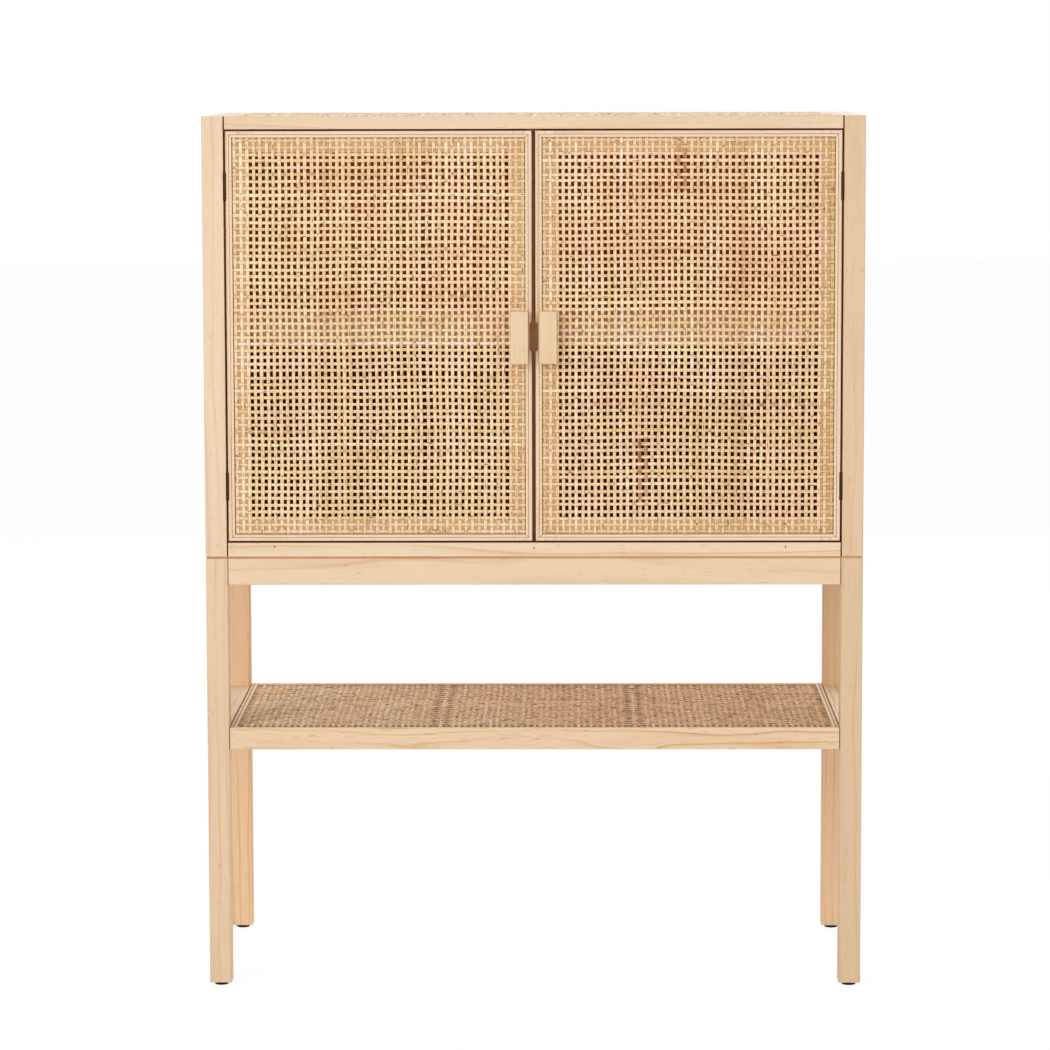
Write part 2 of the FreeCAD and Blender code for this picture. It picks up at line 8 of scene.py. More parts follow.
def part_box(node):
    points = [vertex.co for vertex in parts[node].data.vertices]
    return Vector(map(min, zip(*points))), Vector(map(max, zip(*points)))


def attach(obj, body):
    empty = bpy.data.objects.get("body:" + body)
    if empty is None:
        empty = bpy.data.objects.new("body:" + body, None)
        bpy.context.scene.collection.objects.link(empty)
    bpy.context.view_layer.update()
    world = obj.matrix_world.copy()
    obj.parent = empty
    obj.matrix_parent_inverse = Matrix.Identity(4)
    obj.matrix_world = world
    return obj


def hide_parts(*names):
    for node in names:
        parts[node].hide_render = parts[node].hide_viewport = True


# Record cabinet: a two-door box of pine and woven cane, on an open pine stand with one low shelf.
# The sections follow the cabinet as it is put together, from the legs up to the doors.

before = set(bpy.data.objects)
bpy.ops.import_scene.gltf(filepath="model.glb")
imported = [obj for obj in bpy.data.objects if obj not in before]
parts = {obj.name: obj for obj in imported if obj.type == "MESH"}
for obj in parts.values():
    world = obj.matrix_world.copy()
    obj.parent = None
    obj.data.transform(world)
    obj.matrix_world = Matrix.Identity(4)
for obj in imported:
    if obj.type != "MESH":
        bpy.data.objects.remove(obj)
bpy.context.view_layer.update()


# ---------------------------------------------------------------- legs
# Four square legs of solid pine, planed, with eased edges and a clear matt finish.
# The growth rings run up each leg, and each leg comes from another place in the log.

CLEAR = (1.0, 1.0, 1.0)      # a veil that changes nothing


def shade(red, green, blue):
    """A colour read off a 0 to 255 card, as a shader takes it."""
    return tuple((c / 255 / 12.92 if c < 10 else ((c / 255 + 0.055) / 1.055) ** 2.4)
                 for c in (red, green, blue)) + (1.0,)


def node(tree, kind, feeds, **settings):
    """Adds a shader node, and feeds its sockets with values or with other nodes' sockets."""
    made = tree.nodes.new("ShaderNode" + kind)
    for key, value in settings.items():
        setattr(made, key, value)
    for key, value in feeds.items():
        if isinstance(value, bpy.types.NodeSocket):
            tree.links.new(value, made.inputs[key])
        else:
            made.inputs[key].default_value = value
    return made


def ramp(tree, fac, *stops):
    """A colour ramp from (place, colour) stops; its colour socket."""
    made = node(tree, "ValToRGB", {"Fac": fac})
    band = made.color_ramp
    while len(band.elements) < len(stops):
        band.elements.new(0.5)
    for element, (place, colour) in zip(band.elements, stops):
        element.position = place
        element.color = (*colour[:3], 1.0)
    return made.outputs["Color"]


def noise(tree, place, scale, detail=2.0, rough=0.5, seed=None):
    """Cloudy noise from 0 to 1. With a seed, each strip of cane has its own."""
    feeds = {"Vector": place, "Scale": scale, "Detail": detail, "Roughness": rough}
    if seed is None:
        return node(tree, "TexNoise", feeds).outputs["Fac"]
    return node(tree, "TexNoise", dict(feeds, W=seed), noise_dimensions="4D").outputs["Fac"]


def span(tree, value, low, high, of=(0.0, 1.0)):
    """Moves a value from the range `of` to between `low` and `high`."""
    return node(tree, "MapRange", {"Value": value, "From Min": of[0], "From Max": of[1],
                                   "To Min": low, "To Max": high}).outputs["Result"]


def veiled(tree, colour, *veils):
    """The colour, darkened by veils: each one's factor, its value and the stops of its ramp."""
    for factor, value, *stops in veils:
        colour = node(tree, "Mix", {0: factor, 6: colour, 7: ramp(tree, value, *stops)},
                      data_type="RGBA", blend_type="MULTIPLY").outputs[2]
    return colour


def drawn_out(tree, place, axis, squeeze, heart=(0, 0, 0)):
    """Places measured from `heart`, for a pattern that is drawn out along one axis."""
    stretch = [1.0, 1.0, 1.0]
    stretch[axis] = squeeze
    shift = [-h * s for h, s in zip(heart, stretch)]
    return node(tree, "Mapping", {"Vector": place, "Location": shift,
                                  "Scale": stretch}).outputs["Vector"]


def blank_finish(name):
    """An empty material, and its node tree."""
    finish = bpy.data.materials.new(name)
    finish.use_nodes = True
    finish.node_tree.nodes.clear()
    return finish, finish.node_tree


def close_finish(tree, colour, rough, height, depth, gloss=0.5, metal=0.0):
    """Ends a finish: the shader, with the height field as its bump."""
    bump = node(tree, "Bump", {"Height": height, "Distance": depth, "Strength": 1.0})
    lit = node(tree, "BsdfPrincipled", {"Base Color": colour, "Roughness": rough, "Metallic": metal,
                                        "Specular IOR Level": gloss, "Normal": bump.outputs["Normal"]})
    node(tree, "OutputMaterial", {"Surface": lit.outputs["BSDF"]})


def pine(name, grain, heart, spacing=0.009, pale=(235, 208, 175), late=(214, 170, 126), seed=0.0,
         figure=1.0, gloss=0.32):
    """Pine with its growth rings round a heart line that runs along `grain`, through `heart`.
    `spacing` is the rings', and `pale` and `late` are their early and late wood. `figure` is how
    much they show."""
    finish, tree = blank_finish(name)
    place = node(tree, "TexCoord", {}).outputs["Object"]
    axis = "XYZ".index(grain)

    def along(squeeze):
        return drawn_out(tree, place, axis, squeeze, heart)

    def between(share):
        return shade(*[p - (p - l) * share for p, l in zip(pale, late)])

    cut = along(0.17)
    rings = node(tree, "TexWave", {"Vector": cut, "Scale": 0.314 / spacing, "Distortion": 8.0,
                                   "Detail": 2.0, "Detail Scale": 0.42, "Detail Roughness": 0.42,
                                   "Phase Offset": seed}, wave_type="RINGS", rings_direction=grain,
                 wave_profile="SAW").outputs["Fac"]
    ringed = ramp(tree, rings, (0.0, between(0.05)), (0.62, between(0.0)), (0.84, between(0.28)),
                  (0.945, between(1.0)), (0.975, between(0.85)), (1.0, between(0.05)))
    show = span(tree, noise(tree, cut, 17.0, 1.0), 0.12 * figure, 0.95 * figure, (0.36, 0.62))
    colour = node(tree, "Mix", {0: show, 6: between(0.08), 7: ringed}, data_type="RGBA").outputs[2]
    cloud = noise(tree, along(0.08), 46.0)
    fibres = noise(tree, along(0.025), 1300.0, rough=0.6)
    resin = noise(tree, along(0.07), 800.0, 0.0)
    colour = veiled(tree, colour,
                    (1.0, cloud, (0.30, (1.0, 0.99, 0.965)), (0.5, CLEAR), (0.70, (0.955, 0.92, 0.875))),
                    (0.8, fibres, (0.3, (0.955, 0.94, 0.92)), (0.7, CLEAR)),
                    (0.6, resin, (0.22, (0.72, 0.58, 0.44)), (0.275, CLEAR)))
    close_finish(tree, colour, span(tree, fibres, 0.46, 0.60), fibres, 0.00012, gloss)
    return finish


def dress(name, finish, *others):
    """Gives a plain part its finish, and each other finish to the faces that its test takes."""
    mesh = parts[name].data
    mesh.materials.clear()
    mesh.materials.append(finish)
    for face in mesh.polygons:
        face.material_index = 0
    for index, (other, where) in enumerate(others, 1):
        mesh.materials.append(other)
        for face in mesh.polygons:
            if where(face.center, face.normal):
                face.material_index = index


def heart_by(name, across, deep):
    """An upright heart line, so far across and deep from the middle of a leg or a post."""
    low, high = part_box(name)
    middle = (low + high) / 2
    return middle.x + across, middle.y + deep, 0


FACING = 0.9                 # how far a face's normal reaches along the axis it looks along
JOINT_HEIGHT = 0.598         # the box stands on the stand here, with a V groove all round
# The V groove's faces take a darker, more orange pine: painted shade in the groove.
groove_shade_pine = pine("painted shade in the groove", "X", (0, 0.1, 0.5), pale=(220, 178, 140), late=(194, 150, 112))


def in_groove(centre, normal):
    return abs(centre.z - JOINT_HEIGHT) < 0.002 and 0.2 < abs(normal.z) < 0.97


groove = groove_shade_pine, in_groove

# Each leg's heart, early wood, late wood, and how much the rings show
LEGS = {"leg_front_left": ((0.05, 0.035), (231, 202, 170), (214, 170, 126), 0.8),
        "leg_front_right": ((-0.032, 0.06), (222, 193, 159), (214, 170, 126), 0.7),
        "leg_back_left": ((0.03, -0.05), (238, 202, 162), (212, 158, 110), 1.0),
        "leg_back_right": ((0.06, 0.03), (233, 197, 159), (206, 152, 106), 1.0)}
for index, (name, (heart, pale, late, figure)) in enumerate(LEGS.items()):
    dress(name, pine("pine of " + name, "Z", heart_by(name, *heart), seed=1.7 * index, pale=pale,
                     late=late, figure=figure), groove)


# ---------------------------------------------------------------- aprons
# Four rails tenoned between the tops of the legs. The front one is cut from near the heart,
# so that long flames of grain show on its face.

APRON_HEARTS = {"apron_front": ("X", (0, -0.145, 0.60)), "apron_back": ("X", (0, 0.15, 0.56)),
                "apron_left": ("Y", (-0.47, 0, 0.55)), "apron_right": ("Y", (0.40, 0, 0.52))}
END_OF_BOARDS = 0.4188       # short of where level pieces meet the legs and posts
# A dark pine on the front and back aprons' ends and the eased edges round them: painted shade in the seams at
# the legs.
shoulder_shade_pine = pine("painted shade at the apron's shoulders", "Z", (0, 0.1, 0.5), pale=(120, 84, 54),
                  late=(104, 70, 42), gloss=0.0)


def is_end(centre, normal):
    """The ends of a level piece, and the eased edges round them, where it meets legs or posts."""
    return abs(centre.x) > END_OF_BOARDS and abs(normal.x) > 0.3


for name, (grain, heart) in APRON_HEARTS.items():
    shoulders = [(shoulder_shade_pine, is_end)] if grain == "X" else []
    dress(name, pine("pine of " + name, grain, heart, spacing=0.014, seed=2.3, figure=0.7),
          groove, *shoulders)


# ---------------------------------------------------------------- feet
# A moulded black glide is nailed under each leg: a shallow cup with a rounded rim,
# and the wood shows all round it.

def moulded_plastic(name, colour, rough):
    """Moulded plastic with a fine grit, worn a little lighter in places."""
    finish, tree = blank_finish(name)
    place = node(tree, "TexCoord", {}).outputs["Object"]
    grit = noise(tree, place, 900.0, 3.0)
    worn = noise(tree, place, 60.0)
    lighter = [min(1.0, c * 1.6 + 0.004) for c in shade(*colour)[:3]]
    tone = ramp(tree, worn, (0.35, shade(*colour)), (0.75, lighter))
    close_finish(tree, tone, span(tree, grit, rough - 0.08, rough + 0.1), grit, 0.00006, 0.2)
    return finish


def start():
    """Nothing is selected, and the next primitive is made in object mode."""
    if bpy.context.object and bpy.context.object.mode != "OBJECT":
        bpy.ops.object.mode_set(mode="OBJECT")
    bpy.ops.object.select_all(action="DESELECT")


def fresh():
    """The primitive just added, with its size and place put into its mesh."""
    made = bpy.context.object
    made.data.transform(made.matrix_world)
    made.matrix_world = Matrix.Identity(4)
    return made


def take(obj):
    """Selects only this piece, as the active one."""
    start()
    obj.select_set(True)
    bpy.context.view_layer.objects.active = obj


def pick(obj, kind, wanted):
    """Selects only the faces, edges or vertices whose place the test takes, ready for editing."""
    bpy.ops.object.mode_set(mode="OBJECT")
    mesh = obj.data
    for group in (mesh.vertices, mesh.edges, mesh.polygons):
        group.foreach_set("select", [False] * len(group))
    if kind == "FACE":
        for face in mesh.polygons:
            face.select = wanted(face.center, face.normal)
    elif kind == "EDGE":
        for edge in mesh.edges:
            a, b = (mesh.vertices[i].co for i in edge.vertices)
            edge.select = wanted((a + b) / 2, b - a)
    else:
        for vertex in mesh.vertices:
            vertex.select = wanted(vertex.co, None)
    bpy.ops.object.mode_set(mode="EDIT")
    bpy.ops.mesh.select_mode(type=kind)


def ease(obj, wanted, offset, segments):
    """Rounds the edges that the test takes."""
    pick(obj, "EDGE", wanted)
    bpy.ops.mesh.bevel(offset=offset, segments=segments, affect="EDGES")
    bpy.ops.object.mode_set(mode="OBJECT")


def settle(obj, name, finish, body, replaced=(), place=None, sharp=35):
    """Ends a piece: `place` goes into its mesh, and it takes its name, finish and body."""
    take(obj)
    if place is not None:
        obj.data.transform(place)
    obj.name = obj.data.name = name
    obj.data.materials.clear()
    obj.data.materials.append(finish)
    bpy.ops.object.shade_smooth_by_angle(angle=math.radians(sharp))
    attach(obj, body)
    if replaced:
        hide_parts(*replaced)
    start()
    return obj


def join(pieces):
    """Joins loose pieces into the first one."""
    take(pieces[0])
    for piece in pieces:
        piece.select_set(True)
    if len(pieces) > 1:
        bpy.ops.object.join()
    return pieces[0]


def add(name, data):
    """A new object in the scene."""
    made = bpy.data.objects.new(name, data)
    bpy.context.scene.collection.objects.link(made)
    return made


def copies(model, places, turn=Matrix.Identity(4)):
    """The model, turned and set at each place, each copy with its own mesh. The model is used up.
    A place may also be a matrix of its own."""
    made = []
    for place in places:
        mesh = model.data.copy()
        mesh.transform(place if isinstance(place, Matrix) else Matrix.Translation(place) @ turn)
        made.append(add(model.name, mesh))
    bpy.data.objects.remove(model)
    return join(made)


FOOT_RADIUS, FOOT_HEIGHT = 0.010, 0.005
FOOT_RIM, CUP_SLOPE, CUP_DEPTH = 0.0034, 0.0012, 0.0009
FOOT_ROUND_LOW, FOOT_ROUND_HIGH = 0.0016, 0.0004
start()
bpy.ops.mesh.primitive_cylinder_add(vertices=40, radius=FOOT_RADIUS, depth=FOOT_HEIGHT,
                                    location=(0, 0, FOOT_HEIGHT / 2))
foot = fresh()
pick(foot, "FACE", lambda c, n: n.z < -FACING)
bpy.ops.mesh.inset(thickness=FOOT_RIM)
bpy.ops.mesh.inset(thickness=CUP_SLOPE)
bpy.ops.transform.translate(value=(0, 0, CUP_DEPTH))
ease(foot, lambda c, d: c.z < 0.0001 and c.xy.length > 0.9 * FOOT_RADIUS, FOOT_ROUND_LOW, 4)
ease(foot, lambda c, d: c.z > FOOT_HEIGHT - 0.0001, FOOT_ROUND_HIGH, 2)
low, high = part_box("foot_glides")
foot_x, front_y, back_y = high.x - FOOT_RADIUS, low.y + FOOT_RADIUS, high.y - FOOT_RADIUS
settle(copies(foot, [(x, y, 0) for x in (-foot_x, foot_x) for y in (front_y, back_y)]), "foot_cups",
       moulded_plastic("black foot plastic", (9, 8, 8), 0.5), "cabinet", ["foot_glides"])


# ---------------------------------------------------------------- low shelf
# A thick pine board between two rails that are flush with its top. Woven cane lies in a field
# sunk in the board, and a mitred bead is nailed down over the cane's edge.

LIP = 0.0045                 # wood left round the sunk field
CANE_DEPTH = 0.0016          # both layers of the weave
BEAD_WIDTH, BEAD_HEIGHT = 0.0045, 0.0016
FIELD_DEPTH = CANE_DEPTH + BEAD_HEIGHT
TOLERANCE = 0.0001           # for faces and edges that lie in a given plane
RAIL_JOINT = 0.4215          # just past the board's ends, on the rails beside it
# The sunk field under the shelf's cane is a darker, dull pine: painted shade in the holes of the weave.
shelf_field_wood = pine("pine under shelf cane", "X", (0, 0.1, 0), pale=(206, 160, 114),
                        late=(178, 130, 86), gloss=0.0)
# Near-black pine on the boards' ends and on the rails' eased edges beside them: painted shade in the seams.
seam_shade_pine = pine("painted shade in the seams at the boards' ends", "Y", (0, 0.1, 0), spacing=0.002, pale=(78, 34, 10),
                 late=(64, 26, 8), gloss=0.0)
ends = seam_shade_pine, is_end


def flush(value, plane):
    """Whether a face lies in the plane."""
    return abs(value - plane) < TOLERANCE


board_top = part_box("low_shelf_board")[1].z
dress("low_shelf_board", pine("pine of low shelf", "X", (0.1, -0.128, 0.330), spacing=0.0044,
                              pale=(236, 207, 173), late=(206, 156, 110), seed=4.1, figure=1.05),
      (shelf_field_wood, lambda c, n: flush(c.z, board_top - FIELD_DEPTH)), ends)
# The rails' pine is paler than the board's: painted light on their top faces.
for name, heart in (("low_shelf_rail_left", (-0.48, 0, 0.30)), ("low_shelf_rail_right", (0.47, 0, 0.40))):
    dress(name, pine("pine of " + name, "Y", heart, pale=(245, 222, 192), seed=0.9),
          (seam_shade_pine, lambda c, n: abs(c.x) < RAIL_JOINT and abs(n.x) > 0.3 and n.z > 0.2))

STRIP_THICKNESS, STRIP_EASE = 0.00058, 0.00042
UPRIGHT_WIDTH, UPRIGHT_PITCH = 0.0047, 0.0087
LEVEL_WIDTH, LEVEL_PITCH = 0.0043, 0.0092
WAVE = 0.00045               # how far a strip swings to each side of the weave's middle
BEND = 0.29                  # where its bends lie, as a share of the way between two crossings


def cane(name, along, gloss, flecks, crevice_shade):
    """Split cane with the fibres along one axis. Each strip carries its own tone, offset and painted shade.
    `flecks` is how often a dark fibre shows, and `crevice_shade` how dark the painted shade in the crevices is."""
    finish, tree = blank_finish(name)
    place = node(tree, "TexCoord", {}).outputs["Object"]
    strip = node(tree, "Attribute", {}, attribute_name="strip", attribute_type="GEOMETRY")
    split = node(tree, "SeparateColor", {"Color": strip.outputs["Color"]})
    tone, offset, light = (split.outputs[c] for c in ("Red", "Green", "Blue"))
    axis = "XYZ".index(along)

    def fibres(squeeze):
        return drawn_out(tree, place, axis, squeeze)

    def reckon(operation, *values, **settings):
        return node(tree, "Math", dict(enumerate(values)), operation=operation, **settings).outputs[0]

    seed = reckon("MULTIPLY", offset, 57.0)
    slow = noise(tree, fibres(0.018), 420.0, 2.0, 0.55, seed)
    hue = reckon("ADD", reckon("MULTIPLY_ADD", slow, 0.8, -0.4), tone)
    hue = reckon("MULTIPLY_ADD", noise(tree, place, 11.0, 2.0, 0.6), 0.7, hue)
    hue = reckon("SUBTRACT", hue, 0.35, use_clamp=True)
    colour = ramp(tree, hue, (0.0, shade(255, 236, 208)), (0.2, shade(252, 222, 184)),
                  (0.42, shade(244, 208, 168)), (0.6, shade(234, 200, 150)), (0.8, shade(220, 172, 124)),
                  (1.0, shade(158, 102, 64)))
    drift = noise(tree, place, 6.5, 1.0)
    threads = noise(tree, fibres(0.03), 2600.0)
    dots = noise(tree, fibres(0.16), 640.0, 1.0, seed=seed)
    reach = node(tree, "SeparateXYZ", {"Vector": place}).outputs[axis]
    joint = reckon("FRACT", reckon("MULTIPLY_ADD", reach, 5.1, seed))
    # Painted shade in the crevices between the strips, from ambient occlusion.
    near = node(tree, "AmbientOcclusion", {"Distance": 0.0012}, samples=6).outputs["AO"]
    colour = veiled(
        tree, colour,
        (1.0, drift, (0.34, (0.985, 1.0, 0.94)), (0.5, CLEAR), (0.66, (1.0, 0.95, 0.935))),
        (1.0, offset, (0.0, (1.0, 0.945, 0.99)), (0.3, (1.0, 0.98, 1.0)), (0.6, (1.0, 1.0, 0.98)),
         (0.85, (0.985, 1.0, 0.91)), (1.0, (0.95, 0.965, 0.83))),
        (0.5, threads, (0.32, (0.78, 0.70, 0.60)), (0.56, CLEAR)),
        (0.9, dots, (flecks, (0.24, 0.12, 0.06)), (flecks + 0.032, CLEAR)),
        (0.7, joint, (0.0, (0.50, 0.34, 0.22)), (0.010, (0.72, 0.56, 0.42)), (0.022, CLEAR)),
        # The strip's painted shade, from its vertices: darker where it dips under a crossing strip, at its rims
        # and along the field's edges.
        (1.0, light, (0.0, (0.30, 0.17, 0.08)), (0.5, (0.72, 0.56, 0.40)), (0.8, (0.93, 0.89, 0.84)),
         (1.0, CLEAR)),
        (crevice_shade, near, (0.2, (0.42, 0.28, 0.16)), (0.7, CLEAR)))
    close_finish(tree, colour, span(tree, threads, 0.24, 0.42), threads, 0.00008, gloss)
    return finish


def panel_plane(origin, right, out):
    """The matrix that stands a panel's own plane at `origin`, facing `out`, with +X to `right`."""
    right, out = Vector(right), Vector(out)
    up = out.cross(right)
    return Matrix(((right.x, up.x, out.x, origin[0]), (right.y, up.y, out.y, origin[1]),
                   (right.z, up.z, out.z, origin[2]), (0, 0, 0, 1)))


def strip_centres(length, width, pitch):
    """Where the strips lie across a field, the same number each way from its middle."""
    edge = BEAD_WIDTH + FIRST_STRIP
    gaps = int((length - 2 * edge + width) / pitch)
    return (np.arange(gaps + 1) - gaps / 2) * pitch


def open_up(obj):
    """Edit mode, with all of the piece selected."""
    take(obj)
    bpy.ops.object.mode_set(mode="EDIT")
    bpy.ops.mesh.select_all(action="SELECT")


def strips(reach, width, lanes, crossings, first_out, shake, under, rims, crest, lift):
    """One layer of the weave: a strip in each lane, over one strip of the other layer and under the next.
    `under` is the painted shade where it dips, `rims` how light its edges are painted, and `crest` how high it
    swings.
    `lift` varies the swing from crossing to crossing, and `shake` the strips' places and widths."""
    pitch, run = lanes[1] - lanes[0], crossings[1] - crossings[0]
    half = STRIP_THICKNESS / 2
    start()
    bpy.ops.mesh.primitive_cube_add(size=1, location=(0, run / 6, 0), scale=(width, run, 2 * half))
    strip = fresh()
    pick(strip, "FACE", lambda c, n: abs(n.y) > FACING)
    bpy.ops.mesh.delete(type="ONLY_FACE")
    ease(strip, lambda c, d: c.z > 0.9 * half and abs(d.y) > 0.5 * run, STRIP_EASE, 1)
    pick(strip, "EDGE", lambda c, d: abs(d.y) > 0.5 * run)
    bpy.ops.mesh.subdivide(number_cuts=2)
    bpy.ops.object.mode_set(mode="OBJECT")
    strip.data.transform(Matrix.Translation((lanes[0], crossings[0], 0)))
    for name, step, count, merge in (("long", (0, run, 0), len(crossings), True),
                                     ("wide", (pitch, 0, 0), len(lanes), False)):
        row = strip.modifiers.new(name, "ARRAY")
        row.use_relative_offset = False
        row.use_constant_offset = True
        row.constant_offset_displace = step
        row.count = count
        row.use_merge_vertices = merge
        row.merge_threshold = 0.00002
        bpy.ops.object.modifier_apply(modifier=name)
    open_up(strip)
    bpy.ops.mesh.fill_holes(sides=8)
    bpy.ops.object.mode_set(mode="OBJECT")
    # Each strip then swings over and under, and takes its own width and place
    points = np.empty(len(strip.data.vertices) * 3)
    strip.data.vertices.foreach_get("co", points)
    points = points.reshape(-1, 3)
    lane = np.clip(np.rint((points[:, 0] - lanes[0]) / pitch), 0, len(lanes) - 1).astype(int)
    beside = points[:, 0] - lanes[lane]
    phase = (points[:, 1] - crossings[0]) / run
    share = phase - np.floor(phase)
    near = (share > 0.2) & (share < 0.8)
    points[near, 1] += run * (np.where(share[near] < 0.5, BEND, 1 - BEND) - share[near])
    phase = (points[:, 1] - crossings[0]) / run
    swing = np.cos(np.pi * phase) * np.where((lane + first_out) % 2 == 0, 1.0, -1.0)
    rim = np.abs(beside) > width / 2 - 0.00002
    # Painted shade: a strip darkens where it dips under the other layer, and along its rims.
    light = (1.0 - under * np.clip(-swing, 0, 1) ** 1.5) * np.where(rim, rims, 1.0)
    place, wide = shake
    crossing = np.clip(np.rint(phase), 0, len(crossings) - 1).astype(int)
    points[:, 0] = lanes[lane] + place[lane] + beside * wide[lane]
    points[:, 1] = np.clip(points[:, 1], -reach, reach)
    points[:, 2] += CANE_DEPTH / 2 + WAVE * swing * np.where(swing > 0, crest * lift[lane, crossing], 1.0)
    return strip, points, lane, light, crossing, swing


FIRST_STRIP = 0.0015         # the outermost strips keep this far from the bead
STRIP_SHORT = 0.0003         # a strip ends this far inside the field
STRAY = 0.00034              # how far the strips stray from even spacing
WANDER = 0.0007              # how far the weave wanders from straight
OVER_STILES = 0.879          # share of a door panel's half width at which its stiles begin


def lay_cane(name, place, width, height, axes, body, replaced, seed, stains=(), browner=0.0, under=0.32,
             rims=0.42, crests=(1.0, 1.0), edge=0.86, gloss=0.5, hues=(0.30, 0.35), spread=0.12,
             uneven=0.0, dashes=1.0, flecks=0.32, crevice_shade=0.45, sides=(0.0, 0.0)):
    """Weaves one panel: strips up it, and strips across them. A stain darkens the strips up the
    panel within (middle, half width), from one height to another, to a shade. `browner` darkens its right
    half, `edge` is the painted shade of the outermost strips, and `sides` the painted shade over a door's left
    and right stiles. `hues` and `spread` place each layer's strips on the cane's card of tones. `uneven`
    varies height and shade from crossing to crossing, and `dashes` is the painted shade between the edges'
    crossings."""
    dice, rough_dice = np.random.default_rng(seed), np.random.default_rng(seed + 500)
    upright = strip_centres(width, UPRIGHT_WIDTH, UPRIGHT_PITCH)
    level = strip_centres(height, LEVEL_WIDTH, LEVEL_PITCH)
    speed, turn = dice.uniform(0.6, 1.6, 8), dice.uniform(0, 6.28, 8)
    for layer, (side, lanes, crossings, reach, strip_width) in enumerate((
            ("upright", upright, level, height / 2 - STRIP_SHORT, UPRIGHT_WIDTH),
            ("level", level, upright, width / 2 - STRIP_SHORT, LEVEL_WIDTH))):
        count = len(lanes)
        inner = np.minimum(np.arange(count), np.arange(count)[::-1]) > 0
        shake = dice.normal(0, STRAY, count) * inner, dice.uniform(0.88, 1.08, count)
        lift = 1 - uneven * rough_dice.uniform(0, 0.7, (count, len(crossings)))
        strip, points, lane, light, crossing, swing = strips(
            reach, strip_width, lanes, crossings, layer, shake, under, rims, crests[layer], lift)
        light *= 1 - 0.4 * uneven * rough_dice.uniform(0, 1, (count, len(crossings)))[lane, crossing] ** 3
        # Painted shade on the outermost strips, between the crossings along the edges, and over a door's
        # stiles.
        outermost = (lane == 0) | (lane == count - 1)
        light[outermost] *= edge
        seam = (lane == 1) | (lane == 2) if layer else outermost
        light[seam & (np.abs(swing) < 0.75)] *= dashes
        flat = points if layer == 0 else points[:, [1, 0, 2]]
        a, b = flat[:, 0] / (width / 2), flat[:, 1] / (height / 2)
        light *= 1 - np.where(a < 0, *sides) * (np.abs(a) > OVER_STILES)
        calm = np.clip(1 - a ** 4, 0, 1) * np.clip(1 - b ** 4, 0, 1)
        flat[:, 0] += WANDER * calm * (np.sin(speed[0] * 3 * b + turn[0]) + 0.6 * np.sin(
            speed[1] * 7 * b + speed[2] * 3 * a + turn[1]))
        flat[:, 1] += WANDER * calm * (np.sin(speed[3] * 3 * a + turn[2]) + 0.6 * np.sin(
            speed[4] * 6 * a + speed[5] * 4 * b + turn[3]))
        strip.data.vertices.foreach_set("co", np.ascontiguousarray(flat).reshape(-1))
        strip.data.update()
        if layer == 1:
            open_up(strip)
            bpy.ops.mesh.flip_normals()
            bpy.ops.object.mode_set(mode="OBJECT")
        tones = np.stack([np.clip(dice.normal(hues[layer], spread, count), 0, 1), dice.uniform(0, 1, count),
                          dice.uniform(0.9, 1, count), np.ones(count)], axis=1)[lane]
        tones[:, 0] += browner * np.clip(2 * flat[:, 0] / width + 0.6, 0, 1)
        tones[:, 2] *= light
        for middle, half, bottom, top, dark in stains if layer == 0 else ():
            inside = (np.abs(lanes[lane] - middle) < half) & (flat[:, 1] > bottom) & (flat[:, 1] < top)
            tones[inside, 0] = np.clip(tones[inside, 0] + 0.42, 0, 0.92)
            tones[inside, 2] *= dark
        strip.data.attributes.new("strip", "FLOAT_COLOR", "POINT").data.foreach_set("color", tones.reshape(-1))
        finish = cane(f"cane {name} {side}", axes[layer], gloss, flecks, crevice_shade)
        settle(strip, f"{name}_{side}_strips", finish, body, replaced if layer == 0 else (), place, 50)


BEAD_GAP = 0.0005            # between the bead and the lip
MITRE_GAP = 0.0001
BEAD_ROUND_IN, BEAD_ROUND_OUT = 0.0009, 0.00042


def lay_bead(name, place, width, height, finish, body, replaced, corner=None):
    """Four strips over the cane's edge, mitred at the corners, with eased top edges. `corner` is the
    finish of the side next to the cane, a darker pine that paints the shade there."""
    pieces = []
    bead_width, top = BEAD_WIDTH - BEAD_GAP, CANE_DEPTH + BEAD_HEIGHT - TOLERANCE
    for turn in (0, 2, 1, 3):
        length, reach = (height, width / 2) if turn % 2 else (width, height / 2)
        inner = BEAD_WIDTH - reach - TOLERANCE
        start()
        bpy.ops.mesh.primitive_cube_add(
            size=1, location=(0, BEAD_GAP + bead_width / 2 - reach, CANE_DEPTH + BEAD_HEIGHT / 2),
            scale=(length - 2 * BEAD_GAP, bead_width, BEAD_HEIGHT))
        bead = fresh()
        for sign in (-1, 1):
            pick(bead, "VERT", lambda c, d: c.y > inner and c.x * sign > 0)
            bpy.ops.transform.translate(value=(-sign * (bead_width + MITRE_GAP), 0, 0))
        ease(bead, lambda c, d: c.z > top and c.y > inner and abs(d.x) > 0.1, BEAD_ROUND_IN, 3)
        ease(bead, lambda c, d: c.z > top and c.y < inner, BEAD_ROUND_OUT, 3)
        bead.data.transform(Matrix.Rotation(turn * math.pi / 2, 4, "Z"))
        pieces.append(bead)
    made = settle(join(pieces), name, finish, body, replaced, place)
    # The bead's inner side takes a darker pine: painted shade beside the cane.
    if corner:
        made.data.materials.append(corner)
        back = place.inverted()
        for face in made.data.polygons:
            centre, normal = back @ face.center, back.to_3x3() @ face.normal
            upright = width / 2 - abs(centre.x) < height / 2 - abs(centre.y)
            if (normal.x * centre.x if upright else normal.y * centre.y) < 0 and abs(normal.z) < 0.93:
                face.material_index = 1


